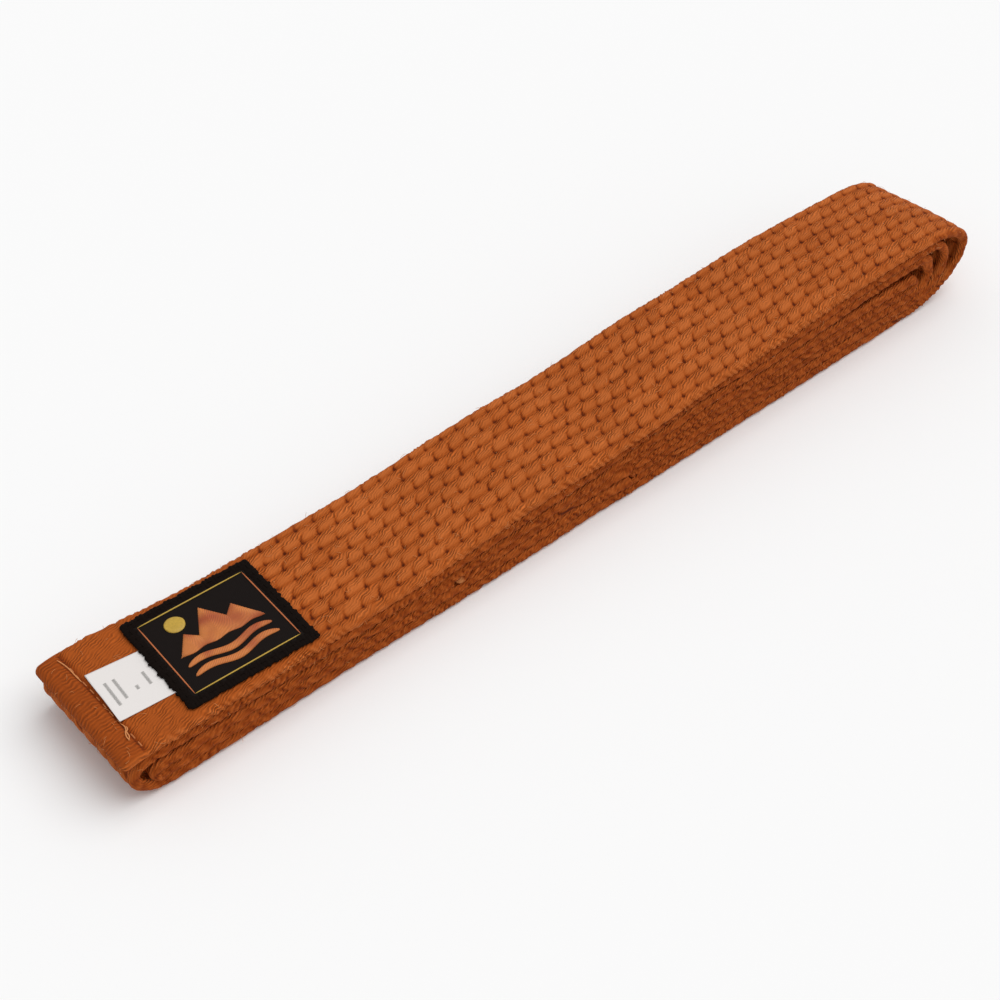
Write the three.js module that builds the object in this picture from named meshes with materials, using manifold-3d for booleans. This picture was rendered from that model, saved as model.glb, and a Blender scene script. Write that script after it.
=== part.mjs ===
// A martial arts belt, rolled flat into a slim packet and lying on its outermost layer.
//
// The belt is one long quilted strip: a twill cover sewn round a core of cotton plies. It starts
// at the tagged end on top of the packet and is wound inwards, over far bends and near bends:
//
//   upper_1 (tag, badge) -> far bend -> lower_1 (on the ground) -> near bend -> upper_2
//   -> far bend -> lower_2 -> near bend -> upper_3 -> far bend -> lower_3
//   -> inner bend -> middle_1 -> far bend -> middle_2, which ends inside the packet
//
// Units are millimetres. X runs along the packet from the tagged end, Y across it, Z up.
import * as THREE from 'three';
import { mergeVertices } from 'three/addons/utils/BufferGeometryUtils.js';
import Module from 'manifold-3d';

// ---- The strip ----
const BELT_WIDTH = 40;
const BELT_THICKNESS = 3.1;
const COVER_WALL = 0.5;
const FIT_GAP = 0.3; // air left between neighbouring layers, and between cover and core

// ---- The packet ----
const RUN_LENGTH = 294; // tagged end to the start of the far bends
const CREASE_GAP = 0.9; // extra air in the one crease that stands open along the side
const CREASE_SHIFT = 60; // length past the inner bend over which it moves to its far layer
const INNER_END_X = 105; // where the strip ends inside the packet
const INNER_BEND_X = 172; // where the short inner turn folds back
const CLIMB = 14; // length over which the layers above climb an end or a bend
const FAR_LEVEL = 12; // the packet is level for this length before the far bends
const RISES = [[92, 150], [160, 208], [214, RUN_LENGTH - FAR_LEVEL]]; // one layer over each
const RISE_STEP = 12; // spacing of the points along the rises
const CLIMB_STEP = 3.5; // and along the climbs

// ---- Bends at the far end ----
const FAR_HOLLOWS = [6.2, 4.0, 3.9]; // air between one nose and the next, from the outside in
const FAR_NOSE_SHARES = [0.64, 0.63, 0.58]; // height of each nose between its two runs
const FAR_UPPER_LEADS = [12, 8, 6]; // length of each curve from the upper run to the nose
const FAR_LOWER_LEADS = [28, 17, 10]; // and from the nose to the lower run

// ---- Bends at the near end ----
const NEAR_SETBACK = 1.2; // the outer near bend lies this far behind the tagged end
const NEAR_NOSE_SHARE = 0.62;
const NEAR_UPPER_LEAD = 6;
const NEAR_LOWER_LEAD = 10.5;
const NEAR_HOLLOW = 2.4; // air between the outer near bend and the bend nested in it

// ---- The lifting length: the outer run turns up about the far bend ----
const LIFT_SPLIT = 5; // the stiff part of the outer run stops this far past the straight runs
const LOOP_FOOT = 6; // and the outer far bend reaches this far along the lower run

// ---- Hems ----
const HEM_DEPTH = 7;
const STITCH_THREAD = 0.5;
const STITCH_INSET = 3; // from each long edge
const TAIL_THREAD = 0.4;
const TAIL_LENGTH = 8;
const TAIL_BOW = 0.5;
const TAIL_BACK_Y = 18;
const TAIL_FRONT_Y = -16;

// ---- Quilting ----
const QUILT_ROWS = 8;
const QUILT_PITCH = 4.8;
const QUILT_THREAD = 0.4;
const QUILT_CLEARANCE = 1.5; // from the badge, and from the end of the lifting length

// ---- Badge and tag ----
const BADGE_START = 22.5; // from the tagged end
const BADGE_LENGTH = 38.8;
const BADGE_WIDTH = 35;
const BADGE_GROUND = 0.6;
const BORDER_WIDTH = 2.6;
const BORDER_THICKNESS = 1.2;
const BADGE_SEAM_INSET = 1.5;
const FRAME_INSET = 0.4; // from the edge of the ground to the frame line
const FRAME_LINE = 0.6;
const SATIN_THICKNESS = 0.5; // raised satin stitch of the frame line and the motif
const TAG_START = 7.6;
const TAG_WIDTH = 18;
const TAG_TUCK = 2; // length of the tag under the badge
const TAG_THICKNESS = 0.3;
const TAG_CENTRE_Y = 0.6;

// ---- Motif: three peaks, a sun and two waves ----
const PEAKS_WIDTH = 25;
const PEAKS_HEIGHT = 12.5;
const PEAKS_BASE_Y = -2.2;
const SUN_RADIUS = 2.8;
const SUN_X = -7.8;
const SUN_Y = 8.9;
const WAVE_LENGTH = 25;
const WAVE_WIDTH = 2.2;
const WAVE_SWELL = 0.9;
const WAVE_GAP = 1.4;
const WAVE_COUNT = 2;

// ---- Materials ----
const twill = new THREE.MeshStandardMaterial({ color: '#a2562a', roughness: 0.92, metalness: 0 });
const batting = new THREE.MeshStandardMaterial({ color: '#d9cdb8', roughness: 0.97, metalness: 0 });
const thread = new THREE.MeshStandardMaterial({ color: '#c07a45', roughness: 0.7, metalness: 0 });
const badgeGround = new THREE.MeshStandardMaterial({ color: '#15100f', roughness: 0.85, metalness: 0 });
const badgeEdge = new THREE.MeshStandardMaterial({ color: '#1b1416', roughness: 0.75, metalness: 0 });
const goldThread = new THREE.MeshStandardMaterial({ color: '#b8923c', roughness: 0.5, metalness: 0 });
const satinThread = new THREE.MeshStandardMaterial({ color: '#c2683a', roughness: 0.55, metalness: 0 });
const satinTape = new THREE.MeshStandardMaterial({ color: '#f1f0ee', roughness: 0.6, metalness: 0 });

const belt = new THREE.Group();
const outerRun = new THREE.Group(); // everything that lifts with the tagged end
belt.add(outerRun);

// ---- Where each layer lies ----

const smooth = (x, start, end) => THREE.MathUtils.smoothstep(x, start, end);

// How many layers are climbed at x: one at the inner end, and two at the inner bend.
const overEnd = (x) => smooth(x, INNER_END_X - CLIMB, INNER_END_X);
const overBend = (x) => 2 * smooth(x, INNER_BEND_X - CLIMB, INNER_BEND_X);
const NEAR_LAYERS = 5;

// The distance from one layer to the next. The top rises more slowly than the layers inside
// climb, so the layers are squeezed just past the inner end and just past the inner bend.
function pitch(x) {
  const risen = RISES.reduce((sum, [start, end]) => sum + smooth(x, start, end), 0);
  const layers = NEAR_LAYERS + overEnd(x) + overBend(x);
  return ((BELT_THICKNESS + FIT_GAP) * (NEAR_LAYERS + risen)) / layers;
}

const thickness = (x) => pitch(x) - FIT_GAP;

// How many layers lie under each layer, and the share of the open crease that is under it. The
// crease stands open under upper_2 near the tagged end, and on both sides of middle_2 at the far
// end.
const shifted = (x) => smooth(x, INNER_BEND_X, INNER_BEND_X + CREASE_SHIFT);
const LAYERS = {
  lower_1: { under: () => 0, crease: () => 0 },
  lower_2: { under: () => 1, crease: () => 0 },
  lower_3: { under: () => 2, crease: () => 0 },
  middle_1: { under: () => 3, crease: () => 0 },
  middle_2: { under: (x) => 2 + overBend(x), crease: (x) => shifted(x) / 3 },
  upper_3: { under: (x) => 2 + overEnd(x) + overBend(x), crease: shifted },
  upper_2: { under: (x) => 3 + overEnd(x) + overBend(x), crease: () => 1 },
  upper_1: { under: (x) => 4 + overEnd(x) + overBend(x), crease: () => 1 },
};

// Height of a layer's middle at x.
function middle(layer, x) {
  const { under, crease } = LAYERS[layer];
  return under(x) * pitch(x) + crease(x) * CREASE_GAP + thickness(x) / 2;
}

// ---- The strip's middle line ----
// A line is a list of points with the direction of the strip's outer face and its thickness.

const CURVE_STEPS = 8;

// Every run has its points at the same x, so that neighbouring layers stay parallel. They are
// close together where the layers climb, and there are none where the packet is level.
function stations() {
  const steps = (start, end, step) => {
    const count = Math.ceil((end - start) / step);
    return Array.from({ length: count + 1 }, (_, i) => start + ((end - start) * i) / count);
  };
  const climbs = [INNER_END_X, INNER_BEND_X].flatMap((x) => steps(x - CLIMB, x, CLIMB_STEP));
  const rises = RISES.flatMap(([start, end]) => steps(start, end, RISE_STEP));
  return [...climbs, ...rises].sort((a, b) => a - b);
}

// A run from one x to another.
function run(layer, fromX, toX, outward) {
  const low = Math.min(fromX, toX);
  const high = Math.max(fromX, toX);
  const xs = [low, ...stations().filter((x) => x > low && x < high), high];
  const spaced = xs.filter((x, i) => i === 0 || i === xs.length - 1 || high - x > 0.1);
  const ordered = fromX < toX ? spaced : spaced.reverse();
  return ordered.map((x) => ({ x, z: middle(layer, x), nx: 0, nz: outward, t: thickness(x) }));
}

// A quarter of an ellipse round (x, z), between two angles in degrees.
function quarter(x, z, radiusX, radiusZ, from, to, t) {
  const points = [];
  for (let i = 0; i <= CURVE_STEPS; i += 1) {
    const angle = THREE.MathUtils.degToRad(from + ((to - from) * i) / CURVE_STEPS);
    const normal = new THREE.Vector2(Math.cos(angle) / radiusX, Math.sin(angle) / radiusZ).normalize();
    points.push({
      x: x + radiusX * Math.cos(angle),
      z: z + radiusZ * Math.sin(angle),
      nx: normal.x,
      nz: normal.y,
      t,
    });
  }
  return points;
}

// A bend at the far end, from an upper run over its nose and down to a lower run.
function farBend(bend) {
  const top = middle(bend.upper, RUN_LENGTH);
  const bottom = middle(bend.lower, RUN_LENGTH);
  const noseZ = bottom + (top - bottom) * bend.noseShare;
  const t = thickness(bend.noseX);
  const down = quarter(bend.noseX - bend.upperLead, noseZ, bend.upperLead, top - noseZ, 90, 0, t);
  const back = quarter(bend.noseX - bend.lowerLead, noseZ, bend.lowerLead, noseZ - bottom, 0, -90, t);
  return [...down, ...back.slice(1)];
}

// A bend towards the near end, from a lower run over its nose and up to an upper run.
function nearBend(bend) {
  const bottom = middle(bend.lower, bend.noseX + bend.lowerLead);
  const top = middle(bend.upper, bend.noseX + bend.upperLead);
  const noseZ = bottom + (top - bottom) * bend.noseShare;
  const t = thickness(bend.noseX);
  const up = quarter(bend.noseX + bend.lowerLead, noseZ, bend.lowerLead, noseZ - bottom, -90, -180, t);
  const over = quarter(bend.noseX + bend.upperLead, noseZ, bend.upperLead, top - noseZ, 180, 90, t);
  return [...up, ...over.slice(1)];
}

// The same bend followed the other way, so that the strip's outer face is inside it.
function foldedBack(points) {
  return points.reverse().map((p) => ({ ...p, nx: -p.nx, nz: -p.nz }));
}

// A tight round bend: its radius is half the distance between its two runs.
function roundBend(upper, lower, x) {
  const radius = (middle(upper, x) - middle(lower, x)) / 2;
  return { upper, lower, radius, noseShare: 0.5, upperLead: radius, lowerLead: radius };
}

// The far bends, from the innermost to the outermost, each standing clear of the one inside it.
const farBends = [roundBend('middle_2', 'middle_1', RUN_LENGTH)];
farBends[0].noseX = RUN_LENGTH + farBends[0].radius;
for (let i = FAR_HOLLOWS.length - 1; i >= 0; i -= 1) {
  const inside = farBends[farBends.length - 1];
  farBends.push({
    upper: `upper_${i + 1}`,
    lower: `lower_${i + 1}`,
    noseX: inside.noseX + BELT_THICKNESS + FAR_HOLLOWS[i],
    noseShare: FAR_NOSE_SHARES[i],
    upperLead: FAR_UPPER_LEADS[i],
    lowerLead: FAR_LOWER_LEADS[i],
  });
}
const [farBend4, farBend3, farBend2, farBend1] = farBends;

const nearBend1 = {
  upper: 'upper_2',
  lower: 'lower_1',
  noseX: BELT_THICKNESS / 2 + NEAR_SETBACK,
  noseShare: NEAR_NOSE_SHARE,
  upperLead: NEAR_UPPER_LEAD,
  lowerLead: NEAR_LOWER_LEAD,
};
const nearBend2 = roundBend('upper_3', 'lower_2', 0);
nearBend2.noseX = nearBend1.noseX + BELT_THICKNESS + NEAR_HOLLOW;
const nearBend3 = roundBend('middle_1', 'lower_3', INNER_BEND_X);
nearBend3.noseX = INNER_BEND_X - nearBend3.radius;

const upperStart = (bend) => bend.noseX - bend.upperLead;
const lowerStart = (bend) => bend.noseX - bend.lowerLead;
const upperEnd = (bend) => bend.noseX + bend.upperLead;
const lowerEnd = (bend) => bend.noseX + bend.lowerLead;

const splitX = RUN_LENGTH + LIFT_SPLIT;
const footX = lowerStart(farBend1) - LOOP_FOOT;

// Joins stretches of the middle line, leaving out points that repeat.
function joinLines(...stretches) {
  const joined = [];
  for (const point of stretches.flat()) {
    const last = joined[joined.length - 1];
    if (!last || Math.hypot(point.x - last.x, point.z - last.z) > 0.01) {
      joined.push(point);
    }
  }
  return joined;
}

const UP = 1;
const DOWN = -1;

const outerRunLine = joinLines(run('upper_1', 0, splitX, UP));
const outerBendLine = joinLines(
  run('upper_1', splitX + FIT_GAP, upperStart(farBend1), UP),
  farBend(farBend1),
  run('lower_1', lowerStart(farBend1), footX + FIT_GAP, DOWN),
);
const rolledLine = joinLines(
  run('lower_1', footX, lowerEnd(nearBend1), DOWN),
  nearBend(nearBend1),
  run('upper_2', upperEnd(nearBend1), upperStart(farBend2), UP),
  farBend(farBend2),
  run('lower_2', lowerStart(farBend2), lowerEnd(nearBend2), DOWN),
  nearBend(nearBend2),
  run('upper_3', upperEnd(nearBend2), upperStart(farBend3), UP),
  farBend(farBend3),
  run('lower_3', lowerStart(farBend3), lowerEnd(nearBend3), DOWN),
  nearBend(nearBend3),
  run('middle_1', upperEnd(nearBend3), lowerStart(farBend4), UP),
  foldedBack(farBend(farBend4)),
  run('middle_2', upperStart(farBend4), INNER_END_X, DOWN),
);

// ---- Solids ----

const wasm = await Module();
wasm.setup();

function toManifold(geometry) {
  const bare = geometry.clone();
  bare.deleteAttribute('normal');
  bare.deleteAttribute('uv');
  const merged = mergeVertices(bare, 1e-4);
  return new wasm.Manifold(new wasm.Mesh({
    numProp: 3,
    vertProperties: new Float32Array(merged.attributes.position.array),
    triVerts: new Uint32Array(merged.index.array),
  }));
}

function toGeometry(solid) {
  const mesh = solid.getMesh();
  const geometry = new THREE.BufferGeometry();
  geometry.setAttribute('position', new THREE.BufferAttribute(new Float32Array(mesh.vertProperties), 3));
  geometry.setIndex(new THREE.BufferAttribute(new Uint32Array(mesh.triVerts), 1));
  const faceted = geometry.toNonIndexed();
  faceted.computeVertexNormals();
  return faceted;
}

// Moves a line's first or last point along the strip by a distance, inwards if it is positive.
function trimLine(line, atStart, atEnd) {
  const points = line.map((p) => ({ ...p }));
  const shift = (end, next, distance) => {
    const length = Math.hypot(next.x - end.x, next.z - end.z);
    end.x += ((next.x - end.x) * distance) / length;
    end.z += ((next.z - end.z) * distance) / length;
  };
  shift(points[0], points[1], atStart);
  shift(points[points.length - 1], points[points.length - 2], atEnd);
  return points;
}

// The strip along a line, seen from the side, as a slab of the given width. The slab is thinner
// than the strip by the inset on each face.
function slab(line, inset, width) {
  const side = (sign) => line.map((p) => {
    const reach = sign * (p.t / 2 - inset);
    return new THREE.Vector2(p.x + p.nx * reach, p.z + p.nz * reach);
  });
  const outline = new THREE.Shape([...side(1), ...side(-1).reverse()]);
  const geometry = new THREE.ExtrudeGeometry(outline, { depth: width, bevelEnabled: false });
  geometry.translate(0, 0, -width / 2);
  geometry.rotateX(Math.PI / 2);
  return geometry;
}

const OPEN_END = -1; // the hollow runs out through an open end by this much

// The cover is a flat tube round the core: closed where the strip is hemmed, open where one
// length of it goes on into the next.
function cover(line, hemAtStart, hemAtEnd) {
  const trim = (hemmed) => (hemmed ? COVER_WALL : OPEN_END);
  const outside = toManifold(slab(line, 0, BELT_WIDTH));
  const hollowLine = trimLine(line, trim(hemAtStart), trim(hemAtEnd));
  const hollow = toManifold(slab(hollowLine, COVER_WALL, BELT_WIDTH - 2 * COVER_WALL));
  return toGeometry(outside.subtract(hollow));
}

// The core fills the cover, clear of it all round.
function core(line, hemAtStart, hemAtEnd) {
  const inset = COVER_WALL + FIT_GAP;
  const trim = (hemmed) => (hemmed ? inset : 0);
  return slab(trimLine(line, trim(hemAtStart), trim(hemAtEnd)), inset, BELT_WIDTH - 2 * inset);
}

function addPiece(group, name, geometry, material) {
  const mesh = new THREE.Mesh(geometry, material);
  mesh.name = name;
  group.add(mesh);
  return mesh;
}

// ---- The strip's pieces ----

addPiece(outerRun, 'cover_tagged_run', cover(outerRunLine, true, false), twill);
addPiece(outerRun, 'core_tagged_run', core(outerRunLine, true, false), batting);
addPiece(belt, 'cover_outer_bend', cover(outerBendLine, false, false), twill);
addPiece(belt, 'core_outer_bend', core(outerBendLine, false, false), batting);
addPiece(belt, 'cover_rolled_length', cover(rolledLine, false, true), twill);
addPiece(belt, 'core_rolled_length', core(rolledLine, false, true), batting);

// ---- Quilting: rows of thread along the outer run, from the badge to its end ----

// The row lies on the cover: the run's own line, raised to the cover's face.
function quiltingRow(y) {
  const start = BADGE_START + BADGE_LENGTH + QUILT_CLEARANCE;
  const line = joinLines(run('upper_1', start, splitX - QUILT_CLEARANCE, UP)).map((p) => ({
    ...p,
    z: p.z + p.t / 2 + FIT_GAP + QUILT_THREAD / 2,
    t: QUILT_THREAD,
  }));
  return slab(line, 0, QUILT_THREAD).translate(0, y, 0);
}

for (let i = 0; i < QUILT_ROWS; i += 1) {
  const y = (i - (QUILT_ROWS - 1) / 2) * QUILT_PITCH;
  addPiece(outerRun, `quilting_row_${i + 1}`, quiltingRow(y), thread);
}

// ---- Pieces sewn to the tagged end ----

const beltTop = middle('upper_1', 0) + thickness(0) / 2;

// A flat piece of an outline, lying with its underside at height z.
function flatPiece(outline, z, depth) {
  const geometry = new THREE.ExtrudeGeometry(outline, { depth, bevelEnabled: false, curveSegments: 12 });
  geometry.translate(0, 0, z);
  return geometry;
}

function rectangle(length, width) {
  const x = length / 2;
  const y = width / 2;
  return [[-x, -y], [x, -y], [x, y], [-x, y]].map(([a, b]) => new THREE.Vector2(a, b));
}

function ring(length, width, line) {
  const outline = new THREE.Shape(rectangle(length, width));
  outline.holes.push(new THREE.Path(rectangle(length - 2 * line, width - 2 * line).reverse()));
  return outline;
}

// The hem's seam: one thread straight across the strip.
const seamWidth = BELT_WIDTH - 2 * STITCH_INSET;
const hemSeam = new THREE.BoxGeometry(STITCH_THREAD, seamWidth, STITCH_THREAD);
hemSeam.translate(HEM_DEPTH, 0, beltTop + FIT_GAP + STITCH_THREAD / 2);
addPiece(outerRun, 'hem_seam_tagged_end', hemSeam, thread);

// The seam's two thread ends lie loose on the cover, each in one shallow curve.
const seamTop = beltTop + FIT_GAP + STITCH_THREAD / 2;
const tails = { back: [TAIL_BACK_Y, -1], front: [TAIL_FRONT_Y, 1] };
for (const [side, [y, way]] of Object.entries(tails)) {
  const tailX = HEM_DEPTH - STITCH_THREAD / 2 - FIT_GAP - TAIL_THREAD / 2 - TAIL_BOW;
  const path = new THREE.QuadraticBezierCurve3(
    new THREE.Vector3(tailX, y, seamTop),
    new THREE.Vector3(tailX + 2 * TAIL_BOW, y + (way * TAIL_LENGTH) / 2, seamTop),
    new THREE.Vector3(tailX - TAIL_BOW, y + way * TAIL_LENGTH, seamTop),
  );
  const section = new THREE.Shape();
  section.absarc(0, 0, TAIL_THREAD / 2, 0, 2 * Math.PI, false);
  const tail = new THREE.ExtrudeGeometry(section, { extrudePath: path, steps: 6, curveSegments: 8 });
  addPiece(outerRun, `hem_thread_tail_${side}`, tail, thread);
}

// The size tag: a short tape with its far edge caught under the badge.
const tagLength = BADGE_START + TAG_TUCK - TAG_START;
const tagBottom = beltTop + FIT_GAP;
const tag = flatPiece(new THREE.Shape(rectangle(tagLength, TAG_WIDTH)), tagBottom, TAG_THICKNESS);
tag.translate(TAG_START + tagLength / 2, TAG_CENTRE_Y, 0);
addPiece(outerRun, 'size_tag', tag, satinTape);

// The badge lies over the tag's edge.
const badge = new THREE.Group();
badge.position.set(BADGE_START + BADGE_LENGTH / 2, 0, tagBottom + TAG_THICKNESS + FIT_GAP);
outerRun.add(badge);

const groundLength = BADGE_LENGTH - 2 * (BORDER_WIDTH + FIT_GAP);
const groundWidth = BADGE_WIDTH - 2 * (BORDER_WIDTH + FIT_GAP);
const ground = flatPiece(new THREE.Shape(rectangle(groundLength, groundWidth)), 0, BADGE_GROUND);
addPiece(badge, 'badge_ground', ground, badgeGround);
const border = flatPiece(ring(BADGE_LENGTH, BADGE_WIDTH, BORDER_WIDTH), 0, BORDER_THICKNESS);
addPiece(badge, 'badge_overlocked_border', border, badgeEdge);
const seamLength = BADGE_LENGTH - 2 * BADGE_SEAM_INSET;
const seamAcross = BADGE_WIDTH - 2 * BADGE_SEAM_INSET;
const badgeSeam = flatPiece(ring(seamLength, seamAcross, STITCH_THREAD), BORDER_THICKNESS + FIT_GAP, STITCH_THREAD);
addPiece(badge, 'badge_seam', badgeSeam, badgeEdge);

// The frame line and the motif stand on the ground, inside the frame.
const satinBottom = BADGE_GROUND + FIT_GAP;
const frameLength = groundLength - 2 * FRAME_INSET;
const frameWidth = groundWidth - 2 * FRAME_INSET;
const frameLine = flatPiece(ring(frameLength, frameWidth, FRAME_LINE), satinBottom, SATIN_THICKNESS);
addPiece(badge, 'badge_frame_line', frameLine, goldThread);

// Three peaks: the middle one is the tallest, and the valleys reach half way down.
function peaksOutline() {
  const x = PEAKS_WIDTH / 2;
  const y = PEAKS_HEIGHT;
  const points = [[-x, 0], [-0.62 * x, 0.55 * y], [-0.38 * x, 0.32 * y], [0, y]];
  points.push([0.36 * x, 0.45 * y], [0.6 * x, 0.68 * y], [x, 0]);
  return new THREE.Shape(points.map(([a, b]) => new THREE.Vector2(a, b + PEAKS_BASE_Y)));
}

// A wave: a band of constant height whose middle line is one and a half sine swells.
function waveOutline(centreY) {
  const steps = 18;
  const crest = (sign) => Array.from({ length: steps + 1 }, (_, i) => {
    const share = i / steps;
    const swell = WAVE_SWELL * Math.sin(3 * Math.PI * share);
    return new THREE.Vector2((share - 0.5) * WAVE_LENGTH, centreY + swell + (sign * WAVE_WIDTH) / 2);
  });
  return new THREE.Shape([...crest(-1), ...crest(1).reverse()]);
}

const sunOutline = new THREE.Shape();
sunOutline.absarc(SUN_X, SUN_Y, SUN_RADIUS, 0, 2 * Math.PI, false);
addPiece(badge, 'motif_peaks', flatPiece(peaksOutline(), satinBottom, SATIN_THICKNESS), satinThread);
addPiece(badge, 'motif_sun', flatPiece(sunOutline, satinBottom, SATIN_THICKNESS), goldThread);
for (let i = 0; i < WAVE_COUNT; i += 1) {
  const drop = WAVE_SWELL + WAVE_GAP + WAVE_WIDTH / 2 + i * (WAVE_WIDTH + WAVE_GAP);
  const wave = flatPiece(waveOutline(PEAKS_BASE_Y - drop), satinBottom, SATIN_THICKNESS);
  addPiece(badge, `motif_wave_${i + 1}`, wave, satinThread);
}

// ---- The frame: the middle of the packet's footprint is the origin ----

const footprint = new THREE.Box3().setFromObject(belt);
belt.position.x = -(footprint.min.x + footprint.max.x) / 2;

export default belt;
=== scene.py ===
"""A martial arts belt, rolled flat into a slim packet: the looks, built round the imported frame."""

import math

import bpy
import numpy as np
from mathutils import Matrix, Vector


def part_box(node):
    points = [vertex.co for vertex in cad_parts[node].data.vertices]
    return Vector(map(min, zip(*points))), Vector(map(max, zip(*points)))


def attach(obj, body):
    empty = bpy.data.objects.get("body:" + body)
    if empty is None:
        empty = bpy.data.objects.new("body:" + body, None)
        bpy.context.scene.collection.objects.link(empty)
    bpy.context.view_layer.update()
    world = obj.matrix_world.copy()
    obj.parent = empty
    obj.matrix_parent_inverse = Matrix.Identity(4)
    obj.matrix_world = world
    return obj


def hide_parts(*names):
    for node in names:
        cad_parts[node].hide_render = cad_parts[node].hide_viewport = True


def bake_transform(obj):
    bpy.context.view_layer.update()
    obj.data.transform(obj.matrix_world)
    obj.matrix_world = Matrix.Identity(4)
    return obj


bl_info = {
    "name": "Rolled Martial Arts Belt",
    "version": (1, 0, 0),
    "blender": (4, 5, 0),
    "location": "View3D > Sidebar > Belt",
    "description": "Makes a quilted belt rolled flat, with its hem, size tag and embroidered badge",
    "category": "Add Mesh",
}

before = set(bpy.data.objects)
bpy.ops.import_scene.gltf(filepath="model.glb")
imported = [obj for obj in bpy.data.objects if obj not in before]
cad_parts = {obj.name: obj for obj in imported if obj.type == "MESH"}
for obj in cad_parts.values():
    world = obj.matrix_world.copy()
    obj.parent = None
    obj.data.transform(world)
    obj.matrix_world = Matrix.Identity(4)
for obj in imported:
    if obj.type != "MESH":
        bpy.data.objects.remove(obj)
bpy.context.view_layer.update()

MM = 0.001
PACKET = "packet"  # the body that stays
TAGGED = "tagged_run"  # the body that lifts

# ---- Sizes read from the frame, in metres ----
RUN_LOW, RUN_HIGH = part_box("cover_tagged_run")
BEND_LOW, BEND_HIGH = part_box("cover_outer_bend")
BORDER_LOW, BORDER_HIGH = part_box("badge_overlocked_border")
GROUND_LOW, GROUND_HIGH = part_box("badge_ground")
LINE_LOW, LINE_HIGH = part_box("badge_frame_line")
SEAM_LOW, SEAM_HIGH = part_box("hem_seam_tagged_end")
SEAM_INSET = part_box("badge_seam")[1]

# ---- How the strip is folded, in millimetres from the tagged end ----
X_TAG = RUN_LOW.x / MM
BELT_WIDTH = (RUN_HIGH.y - RUN_LOW.y) / MM
BELT_THICKNESS = 3.1
AIR = 0.3  # between neighbouring layers
CREASE_GAP = 0.9  # extra air in the crease that stands open along the side
CREASE_SHIFT = 60.0
RUN_LENGTH = 294.0
INNER_END_X = 105.0
INNER_BEND_X = 172.0
CLIMB = 14.0
FAR_LEVEL = 12.0
RISES = ((92.0, 150.0), (160.0, 208.0), (214.0, RUN_LENGTH - FAR_LEVEL))
NEAR_LAYERS = 5
FAR_HOLLOWS = (6.2, 4.0, 3.9)
FAR_NOSE_SHARES = (0.64, 0.63, 0.58)
FAR_UPPER_LEADS = (19.0, 8.0, 6.0)
FAR_LOWER_LEADS = (28.0, 17.0, 10.0)
NEAR_SETBACK = 1.2
NEAR_NOSE_SHARE = 0.62
NEAR_UPPER_LEAD = 6.0
NEAR_LOWER_LEAD = 10.5
NEAR_HOLLOW = 2.4
LOOP_FOOT = 6.0  # the outer far bend reaches this far along the lower run

LINE_STEP = 0.25  # spacing of the points on the worked-out middle line
LINE_SOFTENING = 2.0  # in steps: how much its corners are eased


# ---- Settings ----


def size_setting(name, millimetres, description):
    """A length setting."""
    return bpy.props.FloatProperty(
        name=name, description=description, default=millimetres * MM, unit="LENGTH")


def angle_setting(name, degrees, description):
    """An angle setting."""
    return bpy.props.FloatProperty(
        name=name, description=description, default=math.radians(degrees), subtype="ANGLE")


def strength_setting(name, default, description):
    """A light's strength."""
    return bpy.props.FloatProperty(name=name, description=description, default=default, min=0)


def colour_setting(name, default, of_what):
    """A colour setting, as sRGB hex."""
    return bpy.props.StringProperty(
        name=name, description=f"sRGB hex of {of_what}", default=default)


class BeltSettings(bpy.types.PropertyGroup):
    """Sizes and colours of the quilted strip."""

    edge_round: size_setting("Edge rounding", 2.0, "Half width of the folded long edge")
    row_pitch: size_setting("Row pitch", 4.8, "Distance between quilting rows")
    stitch_length: size_setting("Stitch length", 5.7, "Distance between the holes of a quilting row")
    puff_height: size_setting("Puff height", 0.31, "How far the cloth stands up between the rows")
    groove_depth: size_setting("Groove depth", 0.3, "How deep a row of stitches pulls the cloth in")
    twill_pitch: size_setting("Twill pitch", 0.80, "Distance between twill lines, as coarse as shows")
    twill_angle: angle_setting("Twill angle", 23, "Angle of the twill lines to the belt's length")
    # painted highlight with some rubbed dye: the colour of the raised puffs
    cloth_highlight_and_wear: colour_setting("Light cloth", "#B5602A", "the raised cloth")
    cloth_mid: colour_setting("Cloth", "#A04D18", "the flat cloth")
    # painted shade: the colours of the creases, the strip's edges and the stitch holes
    cloth_painted_shade: colour_setting("Dark cloth", "#86390A", "the cloth in its creases")
    hole_painted_shade: colour_setting("Stitch holes", "#541E05", "the cloth in its stitch holes")
    thread: colour_setting("Thread", "#A65420", "the quilting thread")
    hem_thread: colour_setting("Hem thread", "#B8703E", "the hem's thread")
    loose_thread: colour_setting("Loose thread", "#D08A52", "the thread's loose ends")


class BadgeSettings(bpy.types.PropertyGroup):
    """Sizes and colours of the embroidered badge and the size tag."""

    overlock_pitch: size_setting("Overlock pitch", 1.05, "Distance between the edge's threads")
    border_width: size_setting("Border width", 3.0, "Width of the badge's overlocked edge")
    satin_pitch: size_setting("Satin pitch", 0.42, "Distance between the threads of the motif")
    ground: colour_setting("Ground", "#110B09", "the badge's cloth")
    edge: colour_setting("Edge", "#120B08", "the overlocked edge")
    gold: colour_setting("Gold", "#B8963A", "the gold thread")
    copper: colour_setting("Copper", "#B8683C", "the copper thread")
    satin: colour_setting("Satin", "#D07A3A", "the motif's thread")
    satin_deep: colour_setting("Deep satin", "#A84A24", "the motif's darker thread")
    tape: colour_setting("Tape", "#E6E1DE", "the size tag")
    print_grey: colour_setting("Print", "#B0ADAA", "the tag's woven bars")


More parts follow.
